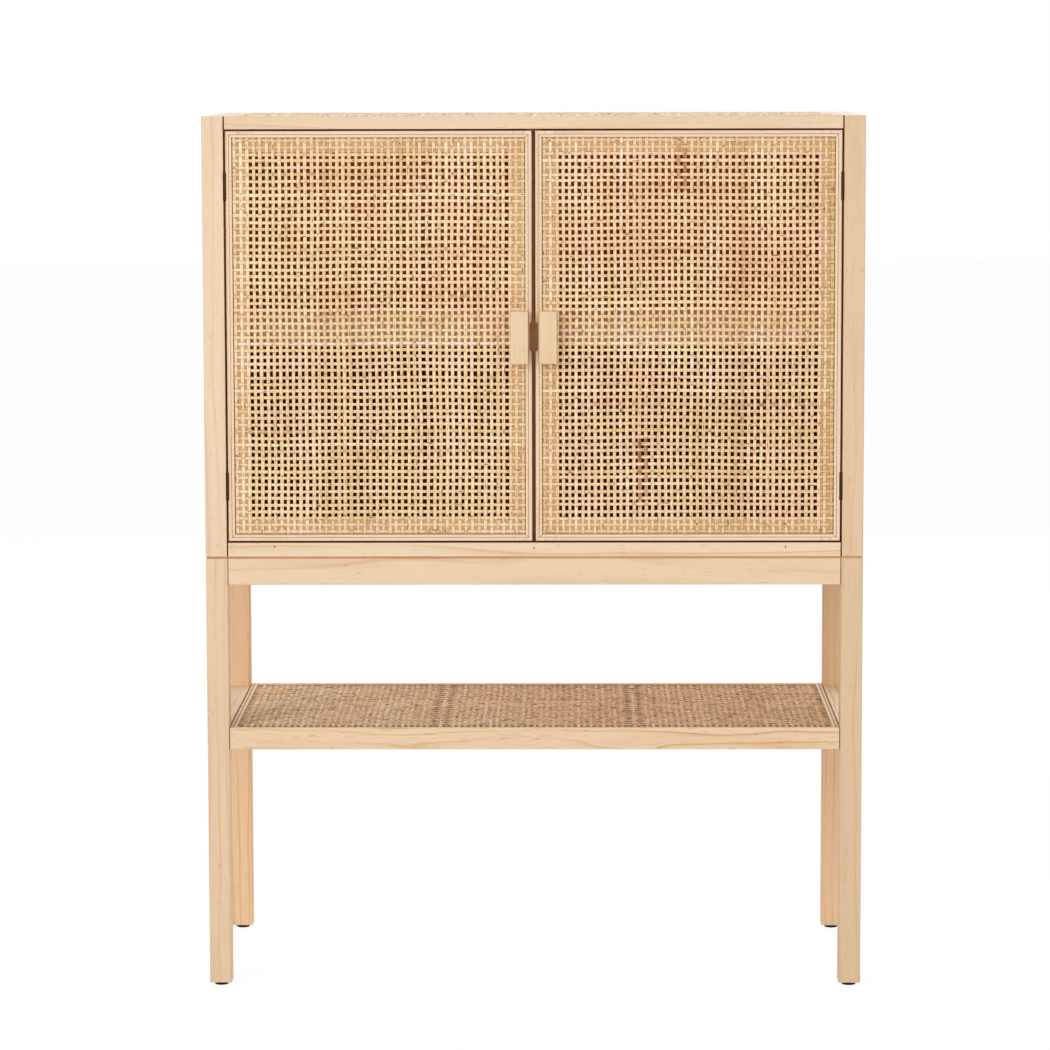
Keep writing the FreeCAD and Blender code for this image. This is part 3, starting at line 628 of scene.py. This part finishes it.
BROWN_STRIPS = -0.142, -0.125, 0.128, 0.145
pine_bead_x = pine("pine bead", "X", (0, 0.3, 0.2), spacing=0.005, pale=(240, 215, 182),
                   late=(228, 190, 150))
low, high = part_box("low_shelf_board")
shelf_plane = panel_plane((0, (low.y + high.y) / 2, high.z - FIELD_DEPTH), (1, 0, 0), (0, 0, 1))
flat_size = high.x - low.x - 2 * LIP, high.y - low.y - 2 * LIP
lay_cane("low_shelf", shelf_plane, *flat_size, "YX", "cabinet", ["low_shelf_webbing"], 11,
         [(x, 0.0044, -1, 1, 0.12) for x in BROWN_STRIPS], browner=0.28, under=0.3, rims=0.9,
         crests=(0.9, 1.7), gloss=0.025, hues=(0.02, -0.02), spread=0.2, uneven=0.8, dashes=0.0,
         flecks=0.38, crevice_shade=0.0)
lay_bead("low_shelf_edge_bead", shelf_plane, *flat_size, pine_bead_x, "cabinet", ["low_shelf_bead"])


# ---------------------------------------------------------------- corner posts
# Four posts stand on the legs, with a V groove left around the joint.
# Their grain is straight, with a few darker lines of late wood. Inside the box the wood is raw.

raw_pine_z, raw_pine_x = (
    pine(f"raw pine, {way}", grain, heart, pale=(204, 148, 96), late=(178, 122, 74), gloss=0.05)
    for way, grain, heart in (("upright", "Z", (0.05, 0.1, 0)), ("level", "X", (0, 0.1, 0.7))))
# Dark pine on the eased edges beside, over and under the doors: painted shade of the door gaps.
gap_shade_pine = pine("eased edge beside the doors", "Z", (0.05, 0.1, 0), pale=(112, 66, 38),
                late=(94, 52, 28), gloss=0.0)
gap_shade_pine_x = pine("eased edge over and under the doors", "X", (0, 0.1, 0.5), pale=(84, 44, 22),
                  late=(70, 34, 16), gloss=0.0)
FRONT_EASE = -0.1885         # the front edges' easing lies before this
POST_INSIDE = 0.4215         # just past the posts' inner faces
DOOR_BAY = 0.619, 1.182      # from just under the doors to just over them


def dress_box_wood(name, finish, raw, inside, edge, beside_doors, *others):
    """Outside finish, wood in the groove with its painted shade, raw wood inside, and painted shade on the
    edges beside the doors.
    """
    dress(name, finish, groove, (raw, inside),
          (edge, lambda c, n: c.y < FRONT_EASE and 0.3 < -n.y < 0.95 and beside_doors(c)), *others)


# Each post's heart and early wood, and which way its inner face looks
POSTS = {"post_front_left": ((-0.06, 0.05), (235, 210, 181), 1),
         "post_front_right": ((0.045, 0.055), (225, 197, 164), -1),
         "post_back_left": ((0.05, 0.04), (234, 204, 170), 1),
         "post_back_right": ((-0.03, -0.06), (234, 204, 170), -1)}
for index, (name, (heart, pale, inward)) in enumerate(POSTS.items()):
    dress_box_wood(name, pine("pine of " + name, "Z", heart_by(name, *heart), seed=0.6 + 2.1 * index,
                              figure=0.5, pale=pale), raw_pine_z, lambda c, n: n.x * inward > FACING, gap_shade_pine,
                   lambda c: abs(c.x) < POST_INSIDE and DOOR_BAY[0] < c.z < DOOR_BAY[1])


# ---------------------------------------------------------------- sides
# Each side is a pine board between two rails, set back from the posts,
# with woven cane and a mitred bead on its outer face.

def shaded_pine_under_cane(name, grain, pale, late):
    """Pine under the cane, darkened by ambient occlusion along the edges of the strips: painted shade."""
    finish = pine(name, grain, (0, 0.1, 0), pale=pale, late=late)
    tree = finish.node_tree
    colour = tree.nodes["Principled BSDF"].inputs["Base Color"]
    # Painted shade along the strips' edges, from ambient occlusion.
    near = node(tree, "AmbientOcclusion", {"Distance": 0.0016}, samples=6).outputs["AO"]
    occlusion_shade = 0.9, near, (0.42, (0.15, 0.08, 0.035)), (0.66, CLEAR)
    tree.links.new(veiled(tree, colour.links[0].from_socket, occlusion_shade), colour)
    return finish


# The pine under the cane is darker than the boards' faces: painted shade in the holes of the weave.
shaded_pine_under_cane_x = shaded_pine_under_cane("pine under cane, with painted shade", "X", (206, 160, 116), (178, 132, 90))
for side, sign in (("left", -1), ("right", 1)):
    for rail, height in (("top", 1.24), ("bottom", 0.57)):
        name = f"side_{rail}_rail_{side}"
        dress(name, pine("pine of " + name, "Y", (sign * 0.46, 0, height), seed=1.3 + sign), groove)
    board = f"side_board_{side}"
    low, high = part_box(board)
    outside = high.x if sign > 0 else low.x
    dress(board, raw_pine_z, (shaded_pine_under_cane_x, lambda c, n: flush(c.x, outside)))
    plane = panel_plane((outside, (low.y + high.y) / 2, (low.z + high.z) / 2), (0, sign, 0), (sign, 0, 0))
    size = high.y - low.y, high.z - low.z
    lay_cane(f"side_{side}", plane, *size, "ZY", "cabinet", [f"side_webbing_{side}"], 21 + sign)
    lay_bead(f"side_edge_bead_{side}", plane, *size, pine_bead_x, "cabinet", [f"side_bead_{side}"])


# ---------------------------------------------------------------- top
# The pine top board lies between the posts, held to the side rails by loose tenons. It carries
# cane in a sunk field under a mitred bead, as the low shelf does.

low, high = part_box("top_board")
top_height = high.z
dress_box_wood("top_board", pine("pine of top board", "X", (0.2, -0.120, 1.150), spacing=0.012,
                                 pale=(233, 208, 178), seed=3.3, figure=0.5), raw_pine_x,
               lambda c, n: n.z < -FACING, gap_shade_pine_x, lambda c: c.z < DOOR_BAY[1] + 0.001,
               (shaded_pine_under_cane_x, lambda c, n: flush(c.z, top_height - FIELD_DEPTH)), ends)
top_plane = panel_plane((0, (low.y + high.y) / 2, high.z - FIELD_DEPTH), (1, 0, 0), (0, 0, 1))
lay_cane("top", top_plane, *flat_size, "YX", "cabinet", ["top_webbing"], 33, under=0.5, rims=1.0,
         crests=(0.5, 2.6), edge=1.0, gloss=1.0, hues=(0.1, -0.05), spread=0.12, uneven=0.8, dashes=0.5,
         flecks=0.40, crevice_shade=0.0)
# The bead on the top is paler than the other beads: painted light on the top.
top_bead_pine = pine("pine bead on top", "X", (0, 0.3, 0.2), spacing=0.005, pale=(250, 234, 212),
                     late=(238, 208, 172))
lay_bead("top_edge_bead", top_plane, *flat_size, top_bead_pine, "cabinet", ["top_bead"])


# ---------------------------------------------------------------- bottom, back and divider
# The pine bottom board, the upright divider and a back of thin brown plywood stiffen the box.
# The back lies in a rebate all round, and the divider parts the box in two behind the doors' gap.

# The floor of the box takes a darker raw pine: raw wood, and painted shade of the lower compartments.
dress_box_wood("bottom_board", pine("pine of bottom board", "X", (-0.1, -0.13, 0.570), spacing=0.012,
                                    pale=(237, 212, 183), seed=5.2, figure=0.7),
               pine("raw pine with painted shade, floor of the box", "X", (0, 0.1, 0.7), pale=(178, 124, 78),
                    late=(156, 104, 62), gloss=0.05),
               lambda c, n: n.z > FACING, gap_shade_pine_x, lambda c: c.z > DOOR_BAY[0] - 0.001, ends)
divider_front = pine("pine of divider's front", "Z", (0.05, -0.10, 0), pale=(230, 184, 132),
                     late=(206, 156, 104))
dress("centre_divider", raw_pine_z, (divider_front, lambda c, n: n.y < -FACING))


def plywood(name):
    """Rotary-cut face veneer: wide wavy figure, finely streaked upwards."""
    finish, tree = blank_finish(name)
    peel = drawn_out(tree, node(tree, "TexCoord", {}).outputs["Object"], 2, 0.16)
    figure = node(tree, "TexWave", {"Vector": peel, "Scale": 7.0, "Distortion": 9.0, "Detail": 3.0,
                                    "Detail Scale": 1.1, "Detail Roughness": 0.6}, wave_type="BANDS",
                  bands_direction="X", wave_profile="SIN").outputs["Fac"]
    colour = ramp(tree, figure, (0.0, shade(152, 90, 44)), (0.7, shade(146, 84, 39)), (1.0, shade(134, 74, 33)))
    streaks = noise(tree, peel, 700.0, 3.0)
    colour = veiled(tree, colour, (0.8, streaks, (0.35, (0.88, 0.85, 0.80)), (0.6, CLEAR)))
    close_finish(tree, colour, span(tree, streaks, 0.5, 0.66), streaks, 0.0001, 0.15)
    return finish


dress("back_panel", plywood("plywood back"))


# ---------------------------------------------------------------- inner shelves and their pins
# Two loose pine shelves, finished on top and raw below. Each rests on four turned steel pins,
# pushed up to their collars into rows of bored holes.

# Under each shelf, raw pine darker than its top: partly raw wood, partly painted shade of the compartment
# below.
for side in ("left", "right"):
    dress(f"inner_shelf_{side}", pine(f"pine of inner shelf {side}", "X", (0, -0.10, 0.85), spacing=0.012,
                                      pale=(238, 204, 164)), (raw_pine_x, lambda c, n: n.z < -FACING))


def plated_steel(name, colour, rough):
    """Plated metal, brushed one way and slightly clouded."""
    finish, tree = blank_finish(name)
    place = node(tree, "TexCoord", {}).outputs["Object"]
    lines = noise(tree, drawn_out(tree, place, 2, 0.06), 5200.0)
    clouds = noise(tree, place, 160.0, 3.0)
    tone = ramp(tree, clouds, (0.3, shade(*[c * 0.86 for c in colour])), (0.7, shade(*colour)))
    close_finish(tree, tone, span(tree, clouds, rough - 0.07, rough + 0.1), lines, 0.00002, metal=1.0)
    return finish


def rod(radius, low, high, sides=20, round_low=0.0, round_high=0.0):
    """An upright rod between two heights, its ends rounded."""
    start()
    bpy.ops.mesh.primitive_cylinder_add(vertices=sides, radius=radius, depth=high - low,
                                        location=(0, 0, (low + high) / 2))
    made = fresh()
    for height, rounded in ((low, round_low), (high, round_high)):
        if rounded:
            ease(made, lambda c, d: abs(c.z - height) < 1e-6, rounded, 2)
    return made


PIN_RADIUS, PIN_DEPTH, PIN_REACH = 0.0025, 0.007, 0.009
COLLAR_RADIUS, COLLAR_THICKNESS = 0.0034, 0.0009
DIVIDER_HALF = 0.009
CONTACT_GAP = 0.00002        # so that touching faces don't lie in one plane
zinc = plated_steel("zinc plated steel", (198, 200, 204), 0.32)
low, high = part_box("shelf_pins")
pin = join([rod(PIN_RADIUS, -PIN_DEPTH, PIN_REACH, 20, 0.0003, 0.0007),
            rod(COLLAR_RADIUS, CONTACT_GAP, COLLAR_THICKNESS, 24, 0, 0.0002)])
pin_height = (low.z + high.z) / 2
back_row = high.y - (high.z - low.z) / 2 / math.cos(math.pi / 6)
side_wall = high.x - PIN_DEPTH
holes = [Matrix.Translation((wall, y, pin_height)) @ Matrix.Rotation(turn * math.pi / 2, 4, "Y")
         for wall, turn in ((-side_wall, 1), (-DIVIDER_HALF, -1), (DIVIDER_HALF, 1), (side_wall, -1))
         for y in (low.y + high.y - back_row, back_row)]
settle(copies(pin, holes), "turned_shelf_pins", zinc, "cabinet", ["shelf_pins"])


# ---------------------------------------------------------------- hidden fixings
# Loose tenons of beech, glued in, join the boards to the side rails. Four plated hexagon bolts
# with washers go up through the side aprons and clamp the box to the stand.

dress("loose_tenons", pine("beech tenons", "X", (0, 0.4, 0.9), spacing=0.006, pale=(226, 190, 152),
                           late=(212, 172, 132)))
HEAD_HALF, BOLT_RADIUS = 0.0055, 0.003
HEAD_CORNER = 0.00635        # from the bolt's middle to its head's corner, along Y
WASHER_RADIUS, WASHER_THICKNESS = 0.0075, 0.0012
low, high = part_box("frame_bolts")
head_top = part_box("apron_left")[0].z
bolt = join([rod(HEAD_HALF, low.z, head_top - WASHER_THICKNESS, 6, 0.0005),
             rod(BOLT_RADIUS, head_top, high.z, 16),
             rod(WASHER_RADIUS, head_top - WASHER_THICKNESS, head_top - CONTACT_GAP, 28, 0.0003)])
bolt_x = high.x - HEAD_HALF
bolt_ys = low.y + HEAD_CORNER, high.y - HEAD_CORNER
settle(copies(bolt, [(x, y, 0) for x in (-bolt_x, bolt_x) for y in bolt_ys]),
       "hex_frame_bolts", zinc, "cabinet", ["frame_bolts"])


# ---------------------------------------------------------------- door catches
# A brown magnetic catch is screwed up under the top beside the divider for each door:
# a moulded case, and a magnet between two steel plates that stand a little proud of it.

def block(low, high, round_edges=0.0, steps=2):
    """A block between two corners, its edges rounded."""
    start()
    low, high = Vector(low), Vector(high)
    bpy.ops.mesh.primitive_cube_add(size=1, location=(low + high) / 2, scale=high - low)
    made = fresh()
    if round_edges:
        ease(made, lambda c, d: True, round_edges, steps)
    return made


def screw_head(radius, height):
    """A screw's head with a cross recess, its top facing +Z."""
    head = rod(radius, 0, height, 24, 0, min(0.3 * radius, 0.7 * height))
    slot, arm = 0.12 * radius, 0.62 * radius
    cross = join([block((-arm, -slot, 0.4 * height), (arm, slot, 2 * height)),
                  block((-slot, -arm, 0.4 * height), (slot, arm, 2 * height))])
    take(head)
    cut = head.modifiers.new("recess", "BOOLEAN")
    cut.operation, cut.solver, cut.object, cut.use_self = "DIFFERENCE", "EXACT", cross, True
    bpy.ops.object.modifier_apply(modifier="recess")
    bpy.data.objects.remove(cross)
    return head


CATCH_LENGTH, CASE_ROUND, CASE_RIM, CASE_SUNK = 0.046, 0.001, 0.0016, 0.0012
POLE_HALF, POLE_DEPTH, POLE_THICKNESS = 0.0175, 0.004, 0.0011
POLE_SPACING, POLE_PROUD, POLE_ROUND = 0.0052, 0.0002, 0.0002
MAGNET_HALF, MAGNET_FRONT, MAGNET_BACK, MAGNET_GAP, MAGNET_ROUND = 0.0165, 0.0004, 0.003, 0.0002, 0.0003
CATCH_SCREW, CATCH_SCREWS = (0.0027, 0.0012), (-0.0165, 0.0165)      # a head's radius and height
SEATED = 0.0001              # how deep a screw's head is pressed in
low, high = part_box("door_catches")
catch_middle, catch_height = high.x - CATCH_LENGTH / 2, (low.z + high.z) / 2
case = block((-CATCH_LENGTH / 2, low.y, low.z), (CATCH_LENGTH / 2, high.y, high.z),
             CASE_ROUND, 3)
pick(case, "FACE", lambda c, n: n.y < -0.99)
bpy.ops.mesh.inset(thickness=CASE_RIM, depth=-CASE_SUNK)
bpy.ops.object.mode_set(mode="OBJECT")
both_catches = [(x, 0, 0) for x in (-catch_middle, catch_middle)]
settle(copies(case, both_catches), "catch_cases", moulded_plastic("brown catch plastic", (98, 66, 42), 0.4),
       "cabinet", ["door_catches"])
poles = [block((-POLE_HALF, low.y - POLE_PROUD, catch_height + z),
               (POLE_HALF, low.y + POLE_DEPTH, catch_height + z + POLE_THICKNESS), POLE_ROUND)
         for z in (-POLE_SPACING / 2 - POLE_THICKNESS, POLE_SPACING / 2)]
heads = copies(screw_head(*CATCH_SCREW),
               [(x, (low.y + high.y) / 2, low.z + SEATED) for x in CATCH_SCREWS],
               Matrix.Rotation(math.pi, 4, "X"))
settle(copies(join(poles + [heads]), both_catches), "catch_poles", zinc, "cabinet")
magnet = block((-MAGNET_HALF, low.y + MAGNET_FRONT, catch_height - POLE_SPACING / 2 + MAGNET_GAP),
               (MAGNET_HALF, low.y + MAGNET_BACK, catch_height + POLE_SPACING / 2 - MAGNET_GAP),
               MAGNET_ROUND)
settle(copies(magnet, both_catches), "catch_magnets", moulded_plastic("black ferrite", (42, 40, 40), 0.6),
       "cabinet")


# ---------------------------------------------------------------- doors
# Each door is a pine frame with stub tenons. The cane covers the whole frame in a sunk field,
# with the daylight through it inside the frame, and a mitred bead over its edge.

# Each door's stained strips, how brown its right half is, and how much painted shade lies over its stiles
DOOR_CANE = {"left": ([(0.062, 0.003, -0.05, 0.02, 0.75), (-0.095, 0.003, 0.12, 0.165, 0.75)],
                      0.0, (0.0, 0.06)),
             "right": ([(-0.009, 0.006, 0.199, 0.264, 0.75), (-0.061, 0.006, -0.224, -0.139, 0.75)],
                       0.1, (0.06, 0.18))}
# The pine under the door cane is darker than the frame's face: painted shade in the holes of the weave.
shaded_pine_under_door_cane = shaded_pine_under_cane("glued pine under door cane", "Z", (210, 171, 126), (192, 150, 104))
# A darker pine for the inner side of each door's bead: painted shade beside the cane.
bead_side_shade_pine = pine("painted shade on the bead's inner side", "X", (0, 0.3, 0.2), pale=(176, 136, 98),
                        late=(150, 110, 74))
# The doors' own edges take a darker, dull pine: painted shade in the gaps.
door_gap_shade_pine = pine("pine edges in the door gaps", "Z", (0.05, 0.1, 0), pale=(216, 168, 120),
                 late=(196, 144, 96), gloss=0.0)
door_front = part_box("door_left_meeting_stile")[0].y
DOOR_EDGES_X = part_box("door_right_meeting_stile")[0].x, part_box("door_right_hinge_stile")[1].x
DOOR_EDGES_Z = [corner.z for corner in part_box("door_right_hinge_stile")]


def is_door_edge(centre, normal):
    across = any(flush(abs(centre.x), x) for x in DOOR_EDGES_X) and abs(normal.x) > FACING
    along = any(flush(centre.z, z) for z in DOOR_EDGES_Z) and abs(normal.z) > FACING
    return across or along


for side, sign in (("left", -1), ("right", 1)):
    body = f"{side}_door"
    for piece, grain, heart in (("hinge_stile", "Z", (sign * 0.44, -0.14, 0)),
                                ("meeting_stile", "Z", (sign * 0.05, -0.15, 0)),
                                ("top_rail", "X", (0, -0.14, 1.21)), ("bottom_rail", "X", (0, -0.15, 0.59))):
        name = f"door_{side}_{piece}"
        dress(name, pine("pine of " + name, grain, heart, seed=0.4 + sign, pale=(240, 212, 184)),
              (shaded_pine_under_door_cane, lambda c, n: flush(c.y, door_front + FIELD_DEPTH)),
              (door_gap_shade_pine, is_door_edge))
    first, last = ("hinge", "meeting") if sign < 0 else ("meeting", "hinge")
    low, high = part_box(f"door_{side}_{first}_stile")[0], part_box(f"door_{side}_{last}_stile")[1]
    plane = panel_plane(((low.x + high.x) / 2, low.y + FIELD_DEPTH, (low.z + high.z) / 2), (1, 0, 0),
                        (0, -1, 0))
    size = high.x - low.x - 2 * LIP, high.z - low.z - 2 * LIP
    stains, browner, sides = DOOR_CANE[side]
    lay_cane(f"door_{side}", plane, *size, "ZX", body, [f"door_{side}_webbing"], 41 + sign, stains,
             browner=browner, sides=sides)
    lay_bead(f"door_{side}_edge_bead", plane, *size, pine_bead_x, body, [f"door_{side}_bead"],
             bead_side_shade_pine)


# ---------------------------------------------------------------- handles
# A small pine block with eased edges on each meeting stile. It is seated on the cane and held
# by two plated screws, driven through the stile from behind.

HANDLE_ROUND = 0.0008
HANDLE_SCREW, HANDLE_SCREWS = (0.0036, 0.0017), (-0.020, 0.020)
handle_pine = pine("pine of handles", "Z", (0.1, -0.22, 0), spacing=0.007, pale=(232, 205, 170),
                   late=(218, 184, 142), figure=0.6)
facing_back = Matrix.Rotation(-math.pi / 2, 4, "X")
for side in ("left", "right"):
    low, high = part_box(f"door_{side}_handle")
    handle = block(low, high)
    ease(handle, lambda c, d: c.y < low.y + 0.001, HANDLE_ROUND, 4)
    ease(handle, lambda c, d: abs(d.y) > 0.01, HANDLE_ROUND, 2)
    settle(handle, f"door_{side}_grip", handle_pine, f"{side}_door", [f"door_{side}_handle"])
    door_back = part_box(f"door_{side}_meeting_stile")[1].y
    middle_x, middle_z = (low.x + high.x) / 2, (low.z + high.z) / 2
    heads = copies(screw_head(*HANDLE_SCREW), [(middle_x, door_back - SEATED, middle_z + z)
                                               for z in HANDLE_SCREWS], facing_back)
    settle(heads, f"door_{side}_grip_screws", zinc, f"{side}_door")


# ---------------------------------------------------------------- strike plates
# A thin plate of plated steel with rounded corners lies on the back of each door and meets
# the magnet of its catch. Two screws hold it.

PLATE_CORNER, PLATE_EASE = 0.002, 0.0003
PLATE_SCREW, PLATE_SCREWS, PLATE_SINK = (0.0023, 0.0006), (-0.013, 0.013), 0.00052
for side in ("left", "right"):
    low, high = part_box(f"door_{side}_strike_plate")
    plate = block(low, high)
    ease(plate, lambda c, d: abs(d.y) > 0.001, PLATE_CORNER, 4)
    ease(plate, lambda c, d: c.y > high.y - 1e-6, PLATE_EASE, 2)
    middle_x, middle_z = (low.x + high.x) / 2, (low.z + high.z) / 2
    heads = copies(screw_head(*PLATE_SCREW), [(middle_x + x, high.y - PLATE_SINK, middle_z)
                                              for x in PLATE_SCREWS], facing_back)
    settle(join([plate, heads]), f"door_{side}_strike",
           plated_steel(f"strike steel {side}", (190, 192, 196), 0.3), f"{side}_door",
           [f"door_{side}_strike_plate"])


# ---------------------------------------------------------------- hinges
# Slim butt hinges of bronzed brass. One leaf is let into the post and one into the door, each with
# three countersunk screws, and a headed pin runs through the five knuckles.

HINGE_HEIGHT, KNUCKLES, KNUCKLE_GAP = 0.038, 5, 0.00012
GAP_HALF = 0.001             # from the pin's middle to the wood on each side
LEAF_THICKNESS, LEAF_REACH, LEAF_START, LEAF_CORNER = 0.0009, 0.0164, 0.0013, 0.0015
BARREL_RADIUS, BARREL_ROUND, TONGUE_START, TONGUE_LAP = 0.00102, 0.00015, 0.0005, 0.0004
HINGE_PIN_RADIUS, PIN_HEAD_RADIUS, CAD_PIN_RADIUS = 0.0005, 0.0009, 0.00095
PIN_PAST, HEAD_PAST, HEAD_GAP = 0.0004, 0.0009, 0.0001      # beyond the knuckles at each end
HINGE_SCREW, HINGE_SCREWS = (0.0023, 0.0005), (0.007, 0.019, 0.031)
HINGE_SCREW_REACH, HINGE_SCREW_SEAT = 0.0098, 0.00045
# The hinges' dark tone is partly their bronzed finish, and partly painted shade of the door gaps.
bronze_and_gap_shade = plated_steel("bronzed hinge brass", (78, 54, 30), 0.42)


def hinge_leaf(first):
    """A leaf on the +X side of the pin, with every other knuckle from `first` on, its foot at z = 0."""
    leaf = block((GAP_HALF, LEAF_START, 0), (GAP_HALF + LEAF_THICKNESS, LEAF_REACH, HINGE_HEIGHT))
    ease(leaf, lambda c, d: c.y > LEAF_REACH - 1e-6 and abs(d.x) > 0.0005, LEAF_CORNER, 4)
    pieces = [leaf]
    pitch = HINGE_HEIGHT / KNUCKLES
    for index in range(first, KNUCKLES, 2):
        low, high = index * pitch + KNUCKLE_GAP, (index + 1) * pitch - KNUCKLE_GAP
        pieces.append(rod(BARREL_RADIUS, low, high, 14, BARREL_ROUND, BARREL_ROUND))
        tongue = block((TONGUE_START, -0.0001, low), (GAP_HALF + TONGUE_LAP, LEAF_START + TONGUE_LAP, high))
        ease(tongue, lambda c, d: abs(d.z) > 0.004 and c.x > GAP_HALF and c.y < 0, TONGUE_LAP, 3)
        pieces.append(tongue)
    heads = [(GAP_HALF + HINGE_SCREW_SEAT, HINGE_SCREW_REACH, z) for z in HINGE_SCREWS]
    pieces.append(copies(screw_head(*HINGE_SCREW), heads, Matrix.Rotation(-math.pi / 2, 4, "Y")))
    return join(pieces)


def mirrored(model):
    """A copy of the model on the other side of the YZ plane, with its faces turned outwards again."""
    mesh = model.data.copy()
    mesh.transform(Matrix.Scale(-1, 4, (1, 0, 0)))
    mesh.flip_normals()
    return add(model.name, mesh)


low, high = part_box("hinge_pins")
hinge_x, hinge_y = high.x - CAD_PIN_RADIUS, (low.y + high.y) / 2


def at_hinges(x):
    """The feet of the two hinges on one side of the cabinet."""
    return [(x, hinge_y, z) for z in (low.z, high.z - HINGE_HEIGHT)]


frame_leaf = hinge_leaf(0)
frame_leaf_left = mirrored(frame_leaf)
leaves = [copies(frame_leaf_left, at_hinges(-hinge_x)), copies(frame_leaf, at_hinges(hinge_x))]
settle(join(leaves), "hinge_leaves_in_posts", bronze_and_gap_shade, "cabinet", ["hinge_frame_leaves"])
pin = join([rod(HINGE_PIN_RADIUS, -PIN_PAST, HINGE_HEIGHT + PIN_PAST, 12),
            rod(PIN_HEAD_RADIUS, -HEAD_PAST, -HEAD_GAP, 14, 0.0003, 0.0001),
            rod(PIN_HEAD_RADIUS, HINGE_HEIGHT + HEAD_GAP, HINGE_HEIGHT + HEAD_PAST, 14, 0.0001, 0.0003)])
settle(copies(pin, at_hinges(-hinge_x) + at_hinges(hinge_x)), "headed_hinge_pins", bronze_and_gap_shade, "cabinet",
       ["hinge_pins"])
door_leaf = hinge_leaf(1)
door_leaf_right = mirrored(door_leaf)
for side, model, x in (("left", door_leaf, -hinge_x), ("right", door_leaf_right, hinge_x)):
    settle(copies(model, at_hinges(x)), f"hinge_leaves_in_door_{side}", bronze_and_gap_shade, f"{side}_door",
           [f"door_{side}_hinge_leaves"])


# ---------------------------------------------------------------- pin marks
# Three fine panel pins are driven into the front of the bottom board. Brown filler covers their
# sunk heads, and stands a hair proud of the wood.

PIN_MARKS = (-0.3555, 0.613), (0.0, 0.611), (0.344, 0.6125)
MARK_RADIUS, MARK_DEPTH, MARK_PROUD, MARK_ROUND = 0.0012, 0.002, 0.00006, 0.00003
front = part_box("bottom_board")[0].y
settle(copies(rod(MARK_RADIUS, -MARK_DEPTH, MARK_PROUD, 12, 0, MARK_ROUND),
              [(x, front, z) for x, z in PIN_MARKS], Matrix.Rotation(math.pi / 2, 4, "X")),
       "filled_pin_marks", moulded_plastic("brown filler", (112, 72, 42), 0.7), "cabinet")


# ---------------------------------------------------------------- floor, light and camera
# A plain white sweep under soft studio light, mostly from the front left.
# The camera stands in front of the cabinet, a little above its top.

WHITE, PAPER = (1.0, 1.0, 1.0, 1.0), (0.92, 0.92, 0.92, 1.0)
PAPER_GLOW, PAPER_SHARE = 1.05, 0.86         # how bright the paper's own light is, and its share


def seen(tree):
    """1 for the rays that show the backdrop itself: the camera's, and those off gloss or through glass."""
    rays = node(tree, "LightPath", {})
    either = rays.outputs["Is Camera Ray"]
    for kind in ("Glossy", "Transmission"):
        either = node(tree, "Math", {0: either, 1: rays.outputs[f"Is {kind} Ray"]},
                      operation="MAXIMUM").outputs[0]
    return either


start()
bpy.ops.mesh.primitive_plane_add(size=40, location=(0, 0, 0))
floor = bpy.context.object
floor.name = "floor"
paper, tree = blank_finish("white paper")
mostly = node(tree, "Math", {0: seen(tree), 1: PAPER_SHARE}, operation="MULTIPLY")
matt = node(tree, "BsdfDiffuse", {"Color": PAPER})
glow = node(tree, "Emission", {"Color": WHITE, "Strength": PAPER_GLOW})
both = node(tree, "MixShader", {0: mostly.outputs[0], 1: matt.outputs[0], 2: glow.outputs[0]})
node(tree, "OutputMaterial", {"Surface": both.outputs[0]})
floor.data.materials.append(paper)

world = bpy.data.worlds.new("studio")
bpy.context.scene.world = world
world.use_nodes = True
tree = world.node_tree
tree.nodes.clear()
soft = node(tree, "Background", {"Color": WHITE, "Strength": 0.6})
white = node(tree, "Background", {"Color": WHITE, "Strength": 1.0})
both = node(tree, "MixShader", {0: seen(tree), 1: soft.outputs[0], 2: white.outputs[0]})
node(tree, "OutputWorld", {"Surface": both.outputs[0]})


def place_lamp(name, place, size, watts):
    """A square lamp that shines straight down."""
    lamp = bpy.data.lights.new(name, "AREA")
    lamp.energy, lamp.size = watts, size
    holder = add(name, lamp)
    holder.location = place
    return holder


AIM = Vector((0, 0, 0.65))
for name, place, size, watts in (("key", (-2.6, -4.2, 2.6), 2.6, 86), ("fill", (3.0, -3.8, 1.6), 2.4, 38),
                                 ("back", (0.5, 3.6, 3.2), 3.0, 60)):
    holder = place_lamp(name, place, size, watts)
    holder.rotation_mode = "QUATERNION"
    holder.rotation_quaternion = (AIM - Vector(place)).to_track_quat("-Z", "Y")

# Two faint warm lamps brighten the upper compartments, which the solid top board would keep dark
for x in (-0.215, 0.215):
    holder = place_lamp("under the top", (x, 0.02, 1.176), 0.3, 0.22)
    holder.data.color = (1.0, 0.84, 0.62)
    holder.visible_camera = False

CAMERA_PLACE = 0.0444, -5.6130, 1.2711
CAMERA_TURN = 83.8438, 0.1162, 0.5864        # degrees
camera = add("camera", bpy.data.cameras.new("camera"))
camera.location = CAMERA_PLACE
camera.rotation_euler = [math.radians(a) for a in CAMERA_TURN]
camera.data.lens = 136.851
camera.data.shift_y = -0.03
camera.data.clip_end = 100
bpy.context.scene.camera = camera
bpy.context.scene.view_settings.view_transform = "Standard"

bpy.context.view_layer.update()
